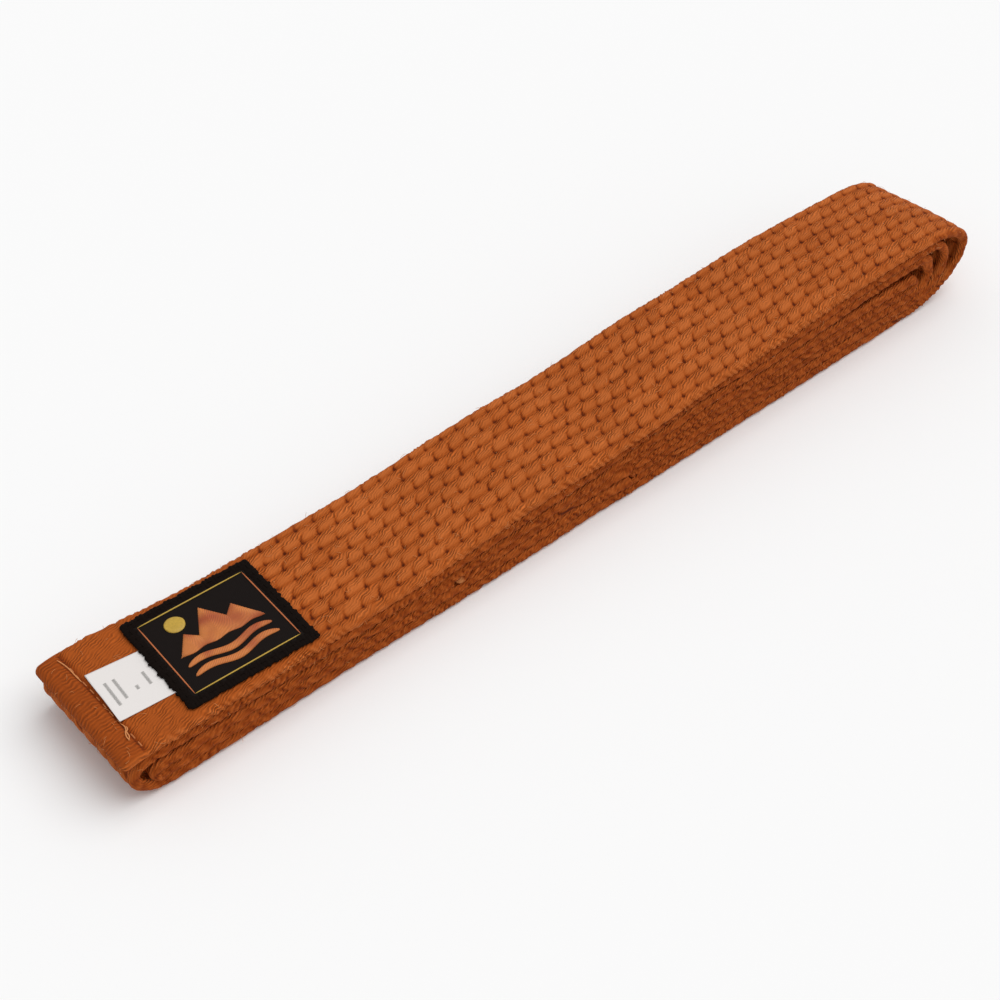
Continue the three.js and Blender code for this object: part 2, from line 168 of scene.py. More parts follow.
class StageSettings(bpy.types.PropertyGroup):
    """The floor, the light and the camera."""

    floor: colour_setting("Floor", "#F4F4F4", "the floor")
    sky: strength_setting("Sky", 0.60, "Strength of the light from all round")
    key: strength_setting("Key", 1.62, "Strength of the soft light from above and to the right")
    key_spread: angle_setting("Key spread", 60, "Angle the soft light fills, seen from the belt")
    azimuth: angle_setting("Azimuth", -41.1, "Direction the camera looks from")
    elevation: angle_setting("Elevation", 44.39, "Height of the camera above the horizon")
    distance: size_setting("Distance", 525.0, "From the camera to what it looks at")
    lens: bpy.props.FloatProperty(
        name="Lens", description="Focal length on a 36 mm sensor", default=65.3, unit="CAMERA")
    target: bpy.props.FloatVectorProperty(
        name="Target", description="The point the camera looks at",
        default=(-0.0204, 0.003, 0.0), subtype="TRANSLATION")


def belt_settings():
    return bpy.context.scene.belt_strip


def badge_settings():
    return bpy.context.scene.belt_badge


def stage_settings():
    return bpy.context.scene.belt_stage


# ---- The strip's middle line, seen from the side, in millimetres ----


def smooth(x, start, end):
    """Rises from 0 at start to 1 at end, level at both: 3t^2 - 2t^3."""
    t = np.clip((np.asarray(x, float) - start) / (end - start), 0, 1)
    return t * t * (3 - 2 * t)


def over_end(x):
    return smooth(x, INNER_END_X - CLIMB, INNER_END_X)


def over_bend(x):
    return 2 * smooth(x, INNER_BEND_X - CLIMB, INNER_BEND_X)


def pitch(x):
    """Height of the packet at x divided among the layers there."""
    risen = sum(smooth(x, start, end) for start, end in RISES)
    layers = NEAR_LAYERS + over_end(x) + over_bend(x)
    return (BELT_THICKNESS + AIR) * (NEAR_LAYERS + risen) / layers


def shifted(x):
    return smooth(x, INNER_BEND_X, INNER_BEND_X + CREASE_SHIFT)


# For each layer: how many layers lie under it, and the share of the open crease under it.
LAYERS = {
    "lower_1": (lambda x: 0 * x, lambda x: 0 * x),
    "lower_2": (lambda x: 1 + 0 * x, lambda x: 0 * x),
    "lower_3": (lambda x: 2 + 0 * x, lambda x: 0 * x),
    "middle_1": (lambda x: 3 + 0 * x, lambda x: 0 * x),
    "middle_2": (lambda x: 2 + over_bend(x), lambda x: shifted(x) / 3),
    "upper_3": (lambda x: 2 + over_end(x) + over_bend(x), shifted),
    "upper_2": (lambda x: 3 + over_end(x) + over_bend(x), lambda x: 1 + 0 * x),
    "upper_1": (lambda x: 4 + over_end(x) + over_bend(x), lambda x: 1 + 0 * x),
}


def middle(layer, x):
    """Height of a layer's middle at x."""
    under, crease = LAYERS[layer]
    x = np.asarray(x, float)
    return under(x) * pitch(x) + crease(x) * CREASE_GAP + (pitch(x) - AIR) / 2


def run(layer, start, end):
    """Points along a layer from one x to another."""
    x = np.linspace(start, end, int(abs(end - start) / LINE_STEP) + 2)
    return np.column_stack([x, middle(layer, x)])


def quarter(x, z, radius_x, radius_z, start, end):
    """A quarter of an ellipse round (x, z), between two angles in degrees."""
    turn = np.radians(np.linspace(start, end, 40))
    return np.column_stack([x + radius_x * np.cos(turn), z + radius_z * np.sin(turn)])


def far_bend(bend):
    top = middle(bend["upper"], RUN_LENGTH)
    bottom = middle(bend["lower"], RUN_LENGTH)
    nose_z = bottom + (top - bottom) * bend["share"]
    nose_x, up, low = bend["nose"], bend["up"], bend["low"]
    down = quarter(nose_x - up, nose_z, up, top - nose_z, 90, 0)
    back = quarter(nose_x - low, nose_z, low, nose_z - bottom, 0, -90)
    return np.vstack([down, back])


def near_bend(bend):
    nose_x, up, low = bend["nose"], bend["up"], bend["low"]
    bottom = middle(bend["lower"], nose_x + low)
    top = middle(bend["upper"], nose_x + up)
    nose_z = bottom + (top - bottom) * bend["share"]
    rise = quarter(nose_x + low, nose_z, low, nose_z - bottom, 270, 180)
    over = quarter(nose_x + up, nose_z, up, top - nose_z, 180, 90)
    return np.vstack([rise, over])


def round_bend(upper, lower, x):
    """A bend whose radius is half the distance between its two runs; its nose is set later."""
    radius = float(middle(upper, x) - middle(lower, x)) / 2
    return {"upper": upper, "lower": lower, "share": 0.5, "up": radius, "low": radius}


def strip_line():
    """The whole strip's middle line: (points, distance along it, named distances)."""
    inner = round_bend("middle_2", "middle_1", RUN_LENGTH)
    inner["nose"] = RUN_LENGTH + inner["up"]
    far = [inner]
    for i in (2, 1, 0):
        far.append({
            "upper": f"upper_{i + 1}", "lower": f"lower_{i + 1}",
            "nose": far[-1]["nose"] + BELT_THICKNESS + FAR_HOLLOWS[i],
            "share": FAR_NOSE_SHARES[i], "up": FAR_UPPER_LEADS[i], "low": FAR_LOWER_LEADS[i],
        })
    far_4, far_3, far_2, far_1 = far
    near_1 = {
        "upper": "upper_2", "lower": "lower_1", "share": NEAR_NOSE_SHARE,
        "nose": BELT_THICKNESS / 2 + NEAR_SETBACK,
        "up": NEAR_UPPER_LEAD, "low": NEAR_LOWER_LEAD,
    }
    near_2 = round_bend("upper_3", "lower_2", 0)
    near_2["nose"] = near_1["nose"] + BELT_THICKNESS + NEAR_HOLLOW
    near_3 = round_bend("middle_1", "lower_3", INNER_BEND_X)
    near_3["nose"] = INNER_BEND_X - near_3["up"]

    far_up = [bend["nose"] - bend["up"] for bend in (far_1, far_2, far_3, far_4)]
    far_low = [bend["nose"] - bend["low"] for bend in (far_1, far_2, far_3, far_4)]
    near_up = [bend["nose"] + bend["up"] for bend in (near_1, near_2, near_3)]
    near_low = [bend["nose"] + bend["low"] for bend in (near_1, near_2, near_3)]
    foot = far_low[0] - LOOP_FOOT
    stretches = [
        ("start", run("upper_1", 0, far_up[0])), ("far_1", far_bend(far_1)),
        ("lower_1", run("lower_1", far_low[0], foot)),
        ("foot", run("lower_1", foot, near_low[0])), ("near_1", near_bend(near_1)),
        ("upper_2", run("upper_2", near_up[0], far_up[1])), ("far_2", far_bend(far_2)),
        ("lower_2", run("lower_2", far_low[1], near_low[1])), ("near_2", near_bend(near_2)),
        ("upper_3", run("upper_3", near_up[1], far_up[2])), ("far_3", far_bend(far_3)),
        ("lower_3", run("lower_3", far_low[2], near_low[2])), ("near_3", near_bend(near_3)),
        ("middle_1", run("middle_1", near_up[2], far_low[3])),
        ("far_4", far_bend(far_4)[::-1]),
        ("middle_2", run("middle_2", far_up[3], INNER_END_X)),
    ]
    marks = {}
    rows = []
    count = 0
    for name, points in stretches:
        marks[name] = count
        rows.append(points)
        count += len(points)
    points = np.vstack(rows)
    steps = np.hypot(*np.diff(points, axis=0).T)
    along = np.concatenate([[0], np.cumsum(steps)])
    named = {name: along[min(i, len(along) - 1)] for name, i in marks.items()}
    named["end"] = along[-1]
    even = np.arange(0, along[-1], LINE_STEP)
    keep = np.concatenate([[True], steps > 1e-6])
    line = np.column_stack([np.interp(even, along[keep], points[keep, k]) for k in (0, 1)])
    reach = int(4 * LINE_SOFTENING)
    kernel = np.exp(-0.5 * (np.arange(-reach, reach + 1) / LINE_SOFTENING) ** 2)
    kernel /= kernel.sum()
    padded = np.vstack([
        2 * line[0] - line[reach:0:-1], line, 2 * line[-1] - line[-2:-reach - 2:-1]])
    eased = np.column_stack([np.convolve(padded[:, k], kernel, "valid") for k in (0, 1)])
    return eased, even, named


LINE, ALONG, MARKS = strip_line()
TANGENT = np.gradient(LINE, ALONG, axis=0)
TANGENT /= np.linalg.norm(TANGENT, axis=1)[:, None]


def sway(s, seed, size, wavelength):
    """Slow seeded wander along the strip: smoothed random steps, size millimetres strong."""
    rng = np.random.default_rng(seed)
    knots = np.arange(-wavelength, ALONG[-1] + 2 * wavelength, wavelength)
    values = rng.normal(0, size, len(knots))
    base = np.clip(((np.asarray(s) - knots[0]) / wavelength).astype(int), 0, len(knots) - 2)
    t = (np.asarray(s) - knots[base]) / wavelength
    t = t * t * (3 - 2 * t)
    return values[base] * (1 - t) + values[base + 1] * t


def line_at(s):
    """Middle point (x, z), direction of the outer face and thickness at distances s."""
    point = np.column_stack([np.interp(s, ALONG, LINE[:, k]) for k in (0, 1)])
    tangent = np.column_stack([np.interp(s, ALONG, TANGENT[:, k]) for k in (0, 1)])
    tangent /= np.linalg.norm(tangent, axis=1)[:, None]
    outward = np.column_stack([-tangent[:, 1], tangent[:, 0]])
    thick = pitch(point[:, 0]) - AIR
    return point, outward, np.minimum(thick, BELT_THICKNESS)


# ---- The strip's surface ----

ROWS = 8
SKIN = 0.13  # the cloth's mean surface lies this far inside the solid's face
EDGE_SQUARENESS = 0.9
STITCH_SEED = 11
WEDGE_SHARE = 0.49
END_WEDGE_STOP = INNER_END_X - 0.4
BEND_WEDGE_STOP = 170.9
HEM_DEPTH = (SEAM_LOW.x + SEAM_HIGH.x) / 2 / MM - X_TAG
HEM_RISE = 0.42
HEM_DROOP = 0.9
HEM_DROOP_REACH = 7.0
HOLLOW_OPENING = 1.3
HOLLOW_OPENS, HOLLOW_CLOSES = (246.0, 286.0), (300.0, 312.0)  # packet x where it grows and ends
CORNER_SAG = 0.085
SAG_REACH = (235.0, 306.0)
SPREAD_FROM = -10.0  # y from which the packet's back side sags and spreads
FLOOR_CLEARANCE = 0.02
HEM_GROOVE = 0.7
HEM_FLARE = 2.3
PLAIN_END = BORDER_HIGH.x / MM - X_TAG  # unquilted from the hem to the badge's far edge
FACE_Z = middle("upper_1", 20.0) + BELT_THICKNESS / 2 - SKIN  # the outer face under the badge
END_ROUND = 1.5
CORNER_ROUND = 1.7


def section(top_step, edge_count, bottom_step):
    """The strip's outline across, from the underside's middle round and back to it.

    Returns for each point its place across without the edge, its angle round the edge, and
    the distance round the outline, which has one value more to close the loop.
    """
    half = BELT_WIDTH / 2 - belt_settings().edge_round / MM
    top = np.linspace(-half, half, int(2 * half / top_step) + 1)
    bottom = np.linspace(half, 0, int(half / bottom_step) + 1)
    edge = np.linspace(0, math.pi, edge_count + 1)[1:-1]
    across = np.concatenate([
        -bottom[::-1][:-1], np.full(1, -half), np.full(len(edge), -half), top,
        np.full(len(edge), half), bottom[:-1]])
    angle = np.concatenate([
        np.full(len(bottom), -math.pi / 2), -math.pi / 2 - edge, np.full(len(top), math.pi / 2),
        math.pi / 2 - edge, np.full(len(bottom) - 1, -math.pi / 2)])
    y, o = outline(across, angle, np.array([BELT_THICKNESS]))
    ring = np.column_stack([np.append(y, y[0, 0]), np.append(o, o[0, 0])])
    around = np.concatenate([[0], np.cumsum(np.hypot(*np.diff(ring, axis=0).T))])
    return across, angle, around - around[-1] / 2


def power(value, exponent):
    return np.sign(value) * np.abs(value) ** exponent


def outline(across, angle, thick):
    """Places on the outline: across + r|cos|^k, and (thickness / 2)|sin|^k, for each thickness."""
    r = belt_settings().edge_round / MM
    y = across + r * power(np.cos(angle), EDGE_SQUARENESS)
    o = (thick[:, None] / 2 - SKIN) * power(np.sin(angle), EDGE_SQUARENESS)
    return np.broadcast_to(y, o.shape), o


def sideways(s):
    """How far the strip wanders sideways at distances s."""
    return sway(s, 41, 0.28, 60.0) + sway(s, 42, 0.09, 17.0)


def flare(x, y):
    """How much wider the packet is at the tagged end, where hem and bends spread the cloth."""
    back = smooth(y, SPREAD_FROM, BELT_WIDTH / 2)
    return HEM_FLARE * (1 - smooth(x, 9.0, 46.0)) * back


def row_wander(s, y):
    """How far the quilting rows wander within the strip, each a little on its own."""
    together = sway(s, 3, 0.18, 23.0) + sway(s, 4, 0.12, 9.0)
    apart = sway(s, 5, 0.22, 13.0) * np.sin(0.45 * y) + sway(s, 6, 0.22, 10.0) * np.cos(0.31 * y)
    return together + apart


def droop(s):
    """How far the hem hangs: its end falls as a parabola."""
    return HEM_DROOP * np.clip(1 - s / HEM_DROOP_REACH, 0, 1) ** 2


def settle(x, y, z):
    """Where a point of the packet comes to rest, in packet millimetres.

    Towards the far end the packet parts at its open crease: below the crease z shrinks
    towards the floor, above it towards the top, so the hollow grows by twice the opening.
    The far back corner sags in proportion to its height.
    """
    within = np.minimum(x, RUN_LENGTH)
    level = (middle("middle_2", within) + middle("upper_3", within)) / 2
    height = middle("upper_1", within) + BELT_THICKNESS / 2
    opening = HOLLOW_OPENING * smooth(x, *HOLLOW_OPENS) * (1 - smooth(x, *HOLLOW_CLOSES))
    below = z * (1 - opening / level)
    above = height - (height - z) * (1 - opening / (height - level))
    share = np.clip((z - level + 0.8) / 1.6, 0, 1)
    z = below + (above - below) * share * share * (3 - 2 * share)
    sunk = 1 - CORNER_SAG * smooth(x, *SAG_REACH) * smooth(y, SPREAD_FROM, BELT_WIDTH / 2)
    return np.maximum(z * sunk, FLOOR_CLEARANCE)


def hem_height(s):
    """The hem's rolled fold and the groove its seam pulls: a half ellipse and a bell curve."""
    share = np.clip(s / HEM_DEPTH, 0, 1)
    roll = HEM_RISE * np.sqrt(np.clip(1 - (2 * share - 1) ** 2, 0, 1)) * (share < 1)
    return roll - HEM_GROOVE * np.exp(-((s - HEM_DEPTH) / 0.75) ** 2)


def hole_places(row):
    """Distances along the strip of one row's stitch holes, unevenly spaced."""
    rng = np.random.default_rng(STITCH_SEED + row)
    length = belt_settings().stitch_length / MM
    count = int(ALONG[-1] / length * 1.1) + 4
    steps = np.clip(rng.normal(length, 0.07 * length, count), 0.8 * length, 1.2 * length)
    return np.cumsum(steps) - length * (1 + rng.random())


# Widths and depths of the quilting's marks: widths in millimetres, painted shade from 0 to 1.
PUFF_LEAN = 0.6  # exponent that moves a puff's top towards its first row
CREASE_BOW = 0.75  # how far a crease bows along the row, in stitches
CREASE_WIDTH = 0.36
CREASE_FADE = (0.38, 0.72)  # where across a puff the creases die out
CREASE_DEPTH = 0.7
CREASE_PAINTED_SHADE = 0.42
PINCH_WIDTH, PINCH = 1.3, 0.45  # the puff is lower by this share beside a crease
STRAND_FROM, STRAND_TO = (0.3, 0.5), (0.93, 1.0)  # where across a puff the twill lines show, in bump and as painted highlight and shade
TROUGH_WIDTH, TROUGH_DEPTH, TROUGH_PAINTED_SHADE = 0.42, 0.4, 0.08
HOLE_LENGTH, HOLE_WIDTH, HOLE_DEPTH, HOLE_PAINTED_SHADE = 0.42, 0.75, 0.9, 0.7
PUFF_TONES = 0.09  # spread of tone from one puff to the next


def quilting(s, y, quilted):
    """The quilted face's height and its crease mask, which paints shade into the creases, grooves and
    stitch holes, at distances s and places across y.

    Between two rows the cloth stands up as sin(pi v^0.6), where v goes from one row to the
    next, so the puff leans towards the first row. Each stitch hole of the first row sends a
    curved crease up into the puff, and the rows themselves are grooves with deep holes.
    """
    settings = belt_settings()
    step = settings.row_pitch / MM
    puff, groove = settings.puff_height / MM, settings.groove_depth / MM
    length = settings.stitch_length / MM
    cell_place = (y[None, :] + row_wander(s[:, None], y)) / step + (ROWS - 1) / 2
    cell = np.clip(np.floor(cell_place), -1, ROWS - 1)
    v = cell_place - cell
    height = np.zeros((len(s), len(y)))
    crease = np.zeros_like(height)
    strand = np.zeros_like(height)
    shade = np.zeros_like(height)
    for row in range(-1, ROWS):
        holes = hole_places(row % ROWS + (ROWS if row < 0 else 0))
        index = np.interp(s, holes, np.arange(len(holes)))
        rng = np.random.default_rng(STITCH_SEED + 100 + row)
        vigour = rng.uniform(0.3, 1.25, len(holes) + 1)
        tone = rng.normal(0, PUFF_TONES, len(holes) + 1)
        lean = rng.normal(0, 0.05, len(holes) + 1)
        here = cell == row
        vv = np.where(here, v, 0)
        curve = (0.06 + lean[np.clip(index.astype(int), 0, len(holes))])[:, None] * vv
        turned = index[:, None] - curve - CREASE_BOW * vv ** 2
        part = turned - np.floor(turned)
        which = np.clip(np.round(turned).astype(int), 0, len(holes))
        apart = np.minimum(part, 1 - part) * length
        fade = 1 - smooth(vv, *CREASE_FADE)
        mark = np.exp(-(apart / CREASE_WIDTH) ** 2) * fade * vigour[which]
        pillow = 1 - PINCH * np.exp(-(apart / PINCH_WIDTH) ** 2) * fade
        grown = np.sin(math.pi * np.clip(vv, 0, 1) ** PUFF_LEAN) * pillow
        height += np.where(here, puff * grown - CREASE_DEPTH * groove * mark, 0)
        crease += np.where(here, CREASE_PAINTED_SHADE * mark, 0)
        shade += np.where(here, tone[np.clip(np.floor(turned).astype(int), 0, len(holes))], 0)
        shown = smooth(vv, *STRAND_FROM) - 0.8 * smooth(vv, *STRAND_TO)
        strand += np.where(here, shown, 0)
    for row in range(ROWS):
        holes = hole_places(row)
        index = np.interp(s, holes, np.arange(len(holes)))
        near = np.abs(index - np.round(index))[:, None] * length
        down = np.abs(cell_place - row) * step
        trough = np.exp(-(down / TROUGH_WIDTH) ** 2)
        hole = np.exp(-(near / HOLE_LENGTH) ** 2 - (down / HOLE_WIDTH) ** 2)
        rng = np.random.default_rng(STITCH_SEED + 200 + row)
        strength = rng.uniform(0.3, 1.1, len(holes) + 1)
        vigour_at = strength[np.clip(np.round(index).astype(int), 0, len(holes))][:, None]
        height -= groove * (TROUGH_DEPTH * trough + HOLE_DEPTH * hole)
        crease += TROUGH_PAINTED_SHADE * trough + HOLE_PAINTED_SHADE * hole * vigour_at
    height *= quilted[:, None]
    crease *= quilted[:, None]
    shade *= quilted[:, None]
    return height, np.clip(crease, 0, 1), np.maximum(strand * quilted[:, None], 0), shade


def edge_ribs(s, around, seed):
    """Puckers along a folded edge: slanted ribs of uneven strength, in millimetres."""
    place = s[:, None] + 0.7 * around[None, :] + sway(s, seed, 1.6, 7.0)[:, None]
    strength = np.clip(0.8 + 0.6 * sway(s, seed + 1, 1.0, 5.0), 0.1, 1.8)[:, None]
    fine = np.sin(2 * math.pi * place / 2.1)
    coarse = np.sin(2 * math.pi * place / 5.7 + 1.3 + sway(s, seed + 2, 1.5, 9.0)[:, None])
    return 0.15 * fine * strength + 0.10 * coarse


def filling(s, x, outer):
    """How far a face stands out into the wedge of air before the inner end or the inner bend.

    Each of the two faces that bound a wedge takes a share of its height, which grows along
    the climb and falls back to nothing just before the end or the bend that made the wedge.
    """
    risen = pitch(x)
    before_end = risen * over_end(x) * (1 - smooth(x, END_WEDGE_STOP - 1.8, END_WEDGE_STOP))
    before_bend = risen * over_bend(x) * (1 - smooth(x, BEND_WEDGE_STOP - 1.8, BEND_WEDGE_STOP))
    before_bend = before_bend * (x > INNER_END_X)
    on_lower = (s > MARKS["lower_2"]) & (s < MARKS["near_2"])
    on_upper = (s > MARKS["upper_3"]) & (s < MARKS["far_3"])
    on_inner = s > MARKS["middle_2"]
    if outer:
        return WEDGE_SHARE * before_bend * on_inner
    return WEDGE_SHARE * (before_end * (on_lower | on_upper) + before_bend * on_lower)


def strip_surface(s, across, angle, around):
    """Points of the strip's surface at distances s, with the cloth's masks.

    A point is the outline at s, moved out along the outline's normal by the quilting on the
    faces and by the ribs on the edges, blended by how far round the edge it is.
    """
    point, outward, thick = line_at(s)
    y, o = outline(across, angle, thick)
    facing = np.abs(np.sin(angle)) ** 3  # 1 on both faces, 0 at the edge's middle
    face = smooth(facing, 0.15, 0.95)[None, :]
    quilted = smooth(s, PLAIN_END - 1.5, PLAIN_END + 1.5)
    height, crease, strand, shade = quilting(s, y[0], quilted)
    ribs = edge_ribs(s, around[:-1], 21)
    puckered = 0.3 + 0.7 * smooth(s, HEM_DEPTH, HEM_DEPTH + 8)[:, None]
    lift = height * face + ribs * (1 - face) * puckered
    lift += sway(s, 31, 0.035, 7.0)[:, None] * np.cos(y / 7.0) * face
    top = (np.sin(angle) > 0)[None, :] * face
    lift = lift + hem_height(s)[:, None] * top
    upright = np.abs(np.sin(angle))[None, :] ** 0.5
    lift = lift + filling(s, point[:, 0], True)[:, None] * upright * (np.sin(angle) > 0)
    lift = lift + filling(s, point[:, 0], False)[:, None] * upright * (np.sin(angle) < 0)
    crease = crease * face
    # painted shade in the groove that the hem's seam pulls
    crease = np.clip(crease + 0.5 * np.exp(-((s - HEM_DEPTH) / 0.6) ** 2)[:, None] * top, 0, 1)
    slant = np.column_stack([np.cos(angle), np.sin(angle)])
    slant /= np.linalg.norm(slant, axis=1)[:, None]
    for end, sign in ((0.0, 1), (ALONG[-1], -1)):
        inside = np.clip((s - end) * sign / END_ROUND, 0, 1)
        o = o * np.sqrt(1 - (1 - inside) ** 2)[:, None]
        lift = lift * smooth(inside, 0, 1)[:, None]
        corner = np.clip((s - end) * sign / CORNER_ROUND, 0, 1)
        y = y * (1 - CORNER_ROUND * (1 - np.sqrt(1 - (1 - corner) ** 2)) / (BELT_WIDTH / 2))[:, None]
    y = y + lift * slant[None, :, 0]
    o = o + lift * slant[None, :, 1]
    y = y + sideways(s)[:, None] + flare(point[:, 0, None], y)
    x = point[:, 0, None] + outward[:, 0, None] * o
    z = settle(x, y, point[:, 1, None] + outward[:, 1, None] * o - droop(s)[:, None])
    # painted shade on the strip's edges, lighter on the tagged length's edge as painted highlight;
    # there the ribs are painted lighter on their crests and darker between them
    side = 0.36 + 0.32 * (s < MARKS["far_1"])[:, None]
    # on the faces the colour follows the height: painted highlight with some rubbed dye on the puffs
    # and painted shade in the grooves, plus each puff's own random tone
    relief = (0.5 + height / 0.75 + shade) * face + (side + 1.4 * ribs) * (1 - face)
    # painted shade on the hem roll
    relief = relief - 0.15 * (s < HEM_DEPTH)[:, None]
    # painted shade from the crease mask in the creases, grooves and stitch holes
    relief = np.clip(relief - 0.7 * crease, 0, 1)
    # the twill lines are also painted on the plain cloth and on the edges
    plain = (1 - quilted[:, None]) * 0.7 + 0.5 * (1 - face)
    strand = np.clip((0.36 + 0.64 * strand) * face * quilted[:, None] + plain, 0, 1)
    rib = (s < HEM_DEPTH)[:, None] * np.ones_like(relief)
    pale = 0.7 * (1 - smooth(ALONG[-1] - s, 1.2, 2.6))
    masks = np.stack([relief, strand, rib, pale[:, None] * np.ones_like(relief)], axis=-1)
    return np.stack([x + X_TAG, y, z], axis=-1), masks


# ---- Meshes from grids ----


def mesh_from(name, points, faces, loops_uv=None, masks=None, smooth_faces=True):
    """A mesh object in metres from points in millimetres and a list of face index arrays."""
    mesh = bpy.data.meshes.new(name)
    sizes = np.concatenate([np.full(len(f), f.shape[1]) for f in faces])
    corners = np.concatenate([f.ravel() for f in faces]).astype(np.int32)
    mesh.vertices.add(len(points))
    mesh.vertices.foreach_set("co", (points * MM).astype(np.float32).ravel())
    mesh.loops.add(len(corners))
    mesh.loops.foreach_set("vertex_index", corners)
    mesh.polygons.add(len(sizes))
    starts = np.concatenate([[0], np.cumsum(sizes)[:-1]]).astype(np.int32)
    mesh.polygons.foreach_set("loop_start", starts)
    mesh.polygons.foreach_set("use_smooth", np.full(len(sizes), smooth_faces))
    if loops_uv is not None:
        layer = mesh.uv_layers.new(name="cloth")
        layer.uv.foreach_set("vector", (loops_uv * MM).astype(np.float32).ravel())
    if masks is not None:
        attribute = mesh.color_attributes.new("masks", "FLOAT_COLOR", "POINT")
        attribute.data.foreach_set("color", masks.astype(np.float32).ravel())
    mesh.update(calc_edges=True)
    mesh.validate()
    made = bpy.data.objects.new(name, mesh)
    bpy.context.scene.collection.objects.link(made)
    return made


def signed_volume(points, quads):
    """A sixth of the sum of a . (b x c) over the faces: negative if they face inwards."""
    a, b, c, d = (points[quads[:, k]] for k in range(4))
    return ((a * np.cross(b, c)).sum() + (a * np.cross(c, d)).sum()) / 6


def tube_faces(rows, columns):
    """Quads of a closed tube of rows x columns points, with the corners' grid places."""
    i, j = np.meshgrid(np.arange(rows - 1), np.arange(columns), indexing="ij")
    k = (j + 1) % columns
    quads = np.stack([i * columns + j, (i + 1) * columns + j,
                      (i + 1) * columns + k, i * columns + k], axis=-1).reshape(-1, 4)
    row = np.stack([i, i + 1, i + 1, i], axis=-1).reshape(-1, 4)
    column = np.stack([j, j, j + 1, j + 1], axis=-1).reshape(-1, 4)
    return quads, row, column


def tube(name, grid, rows_uv, columns_uv, masks=None):
    """A closed tube: grid is rows x columns x 3, and each end is closed by a fan."""
    rows, columns = grid.shape[:2]
    quads, row, column = tube_faces(rows, columns)
    centres = np.array([grid[0].mean(axis=0), grid[-1].mean(axis=0)])
    points = np.vstack([grid.reshape(-1, 3), centres])
    j = np.arange(columns)
    k = (j + 1) % columns
    last = (rows - 1) * columns
    first_fan = np.column_stack([np.full(columns, rows * columns), j, k])
    last_fan = np.column_stack([np.full(columns, rows * columns + 1), last + k, last + j])
    uv = np.stack([rows_uv[row], columns_uv[column]], axis=-1).reshape(-1, 2)
    fan_uv = np.stack([
        np.column_stack([np.full(columns, rows_uv[e]) for _ in range(3)])
        for e in (0, -1)])
    fan_v = np.column_stack([columns_uv[j], columns_uv[j], columns_uv[j + 1]])
    fan = np.stack([fan_uv.reshape(-1, 3), np.vstack([fan_v, fan_v])], axis=-1).reshape(-1, 2)
    if signed_volume(points, quads) < 0:
        quads = quads[:, ::-1]
        uv = uv.reshape(-1, 4, 2)[:, ::-1].reshape(-1, 2)
        first_fan, last_fan = first_fan[:, ::-1], last_fan[:, ::-1]
        fan = fan.reshape(-1, 3, 2)[:, ::-1].reshape(-1, 2)
    if masks is not None:
        flat = masks.reshape(-1, masks.shape[-1])
        masks = np.vstack([flat, masks[0].mean(axis=0)[None], masks[-1].mean(axis=0)[None]])
    return mesh_from(name, points, [quads, first_fan, last_fan], np.vstack([uv, fan]), masks)


def tubes(name, paths, radius, sides, beside, flatten=1.0):
    """Many short round threads in one mesh: paths is count x steps x 3, in millimetres.

    Each thread is a circle carried along its path, drawn in at both ends. The direction beside
    is any that lies across the paths; flatten is the thread's height over its width.
    """
    count, steps = paths.shape[:2]
    tangent = np.gradient(paths, axis=1)
    tangent /= np.linalg.norm(tangent, axis=2)[..., None]
    over = np.cross(tangent, np.broadcast_to(beside, tangent.shape))
    over /= np.linalg.norm(over, axis=2)[..., None]
    side = np.cross(over, tangent)
    turn = np.linspace(0, 2 * math.pi, sides, endpoint=False)
    share = np.linspace(-1, 1, steps)
    taper = np.sqrt(np.clip(1 - np.abs(share) ** 6, 0.02, 1))[None, :, None, None]
    ring = (side[:, :, None] * np.cos(turn)[None, None, :, None]
            + flatten * over[:, :, None] * np.sin(turn)[None, None, :, None])
    points = paths[:, :, None] + radius * taper * ring
    quads, row, column = tube_faces(steps, sides)
    block = steps * sides
    j = np.arange(sides)
    caps = np.stack([j[::-1], block - sides + j])
    everyone = np.arange(count) * block
    all_quads = (quads[None] + everyone[:, None, None]).reshape(-1, 4)
    all_caps = (caps[None] + everyone[:, None, None]).reshape(-1, sides)
    flat = points.reshape(-1, 3)
    if signed_volume(flat, all_quads) < 0:
        all_quads, all_caps = all_quads[:, ::-1], all_caps[:, ::-1]
    return mesh_from(name, flat, [all_quads, all_caps])


# ---- Materials ----


def colour(text):
    """An sRGB hex colour as linear RGBA."""
    values = [int(text[i:i + 2], 16) / 255 for i in (1, 3, 5)]
    linear = [v / 12.92 if v <= 0.04045 else ((v + 0.055) / 1.055) ** 2.4 for v in values]
    return (*linear, 1.0)


def put(tree, value, socket):
    """Links a socket to an input, or sets the input to a value."""
    if isinstance(value, bpy.types.NodeSocket):
        tree.links.new(value, socket)
    else:
        socket.default_value = value


def node(tree, kind, inputs=None, **settings):
    """Adds one node: settings are its own properties, inputs are values or sockets to link."""
    made = tree.nodes.new(kind)
    for name, value in settings.items():
        setattr(made, name, value)
    for key, value in (inputs or {}).items():
        put(tree, value, made.inputs[key])
    return made


def new_material(name):
    """An empty node material with its output: returns the material, its tree and the shader."""
    material = bpy.data.materials.new(name)
    material.use_nodes = True
    tree = material.node_tree
    tree.nodes.clear()
    shader = node(tree, "ShaderNodeBsdfPrincipled")
    node(tree, "ShaderNodeOutputMaterial", {"Surface": shader.outputs["BSDF"]})
    return material, tree, shader


WAVE_PERIODS = 20 / (2 * math.pi)  # a Wave texture of scale 1 has this many bands per unit
YARN_DRIFT = 0.0020  # metres
HEM_RIB_PITCH = 0.00108


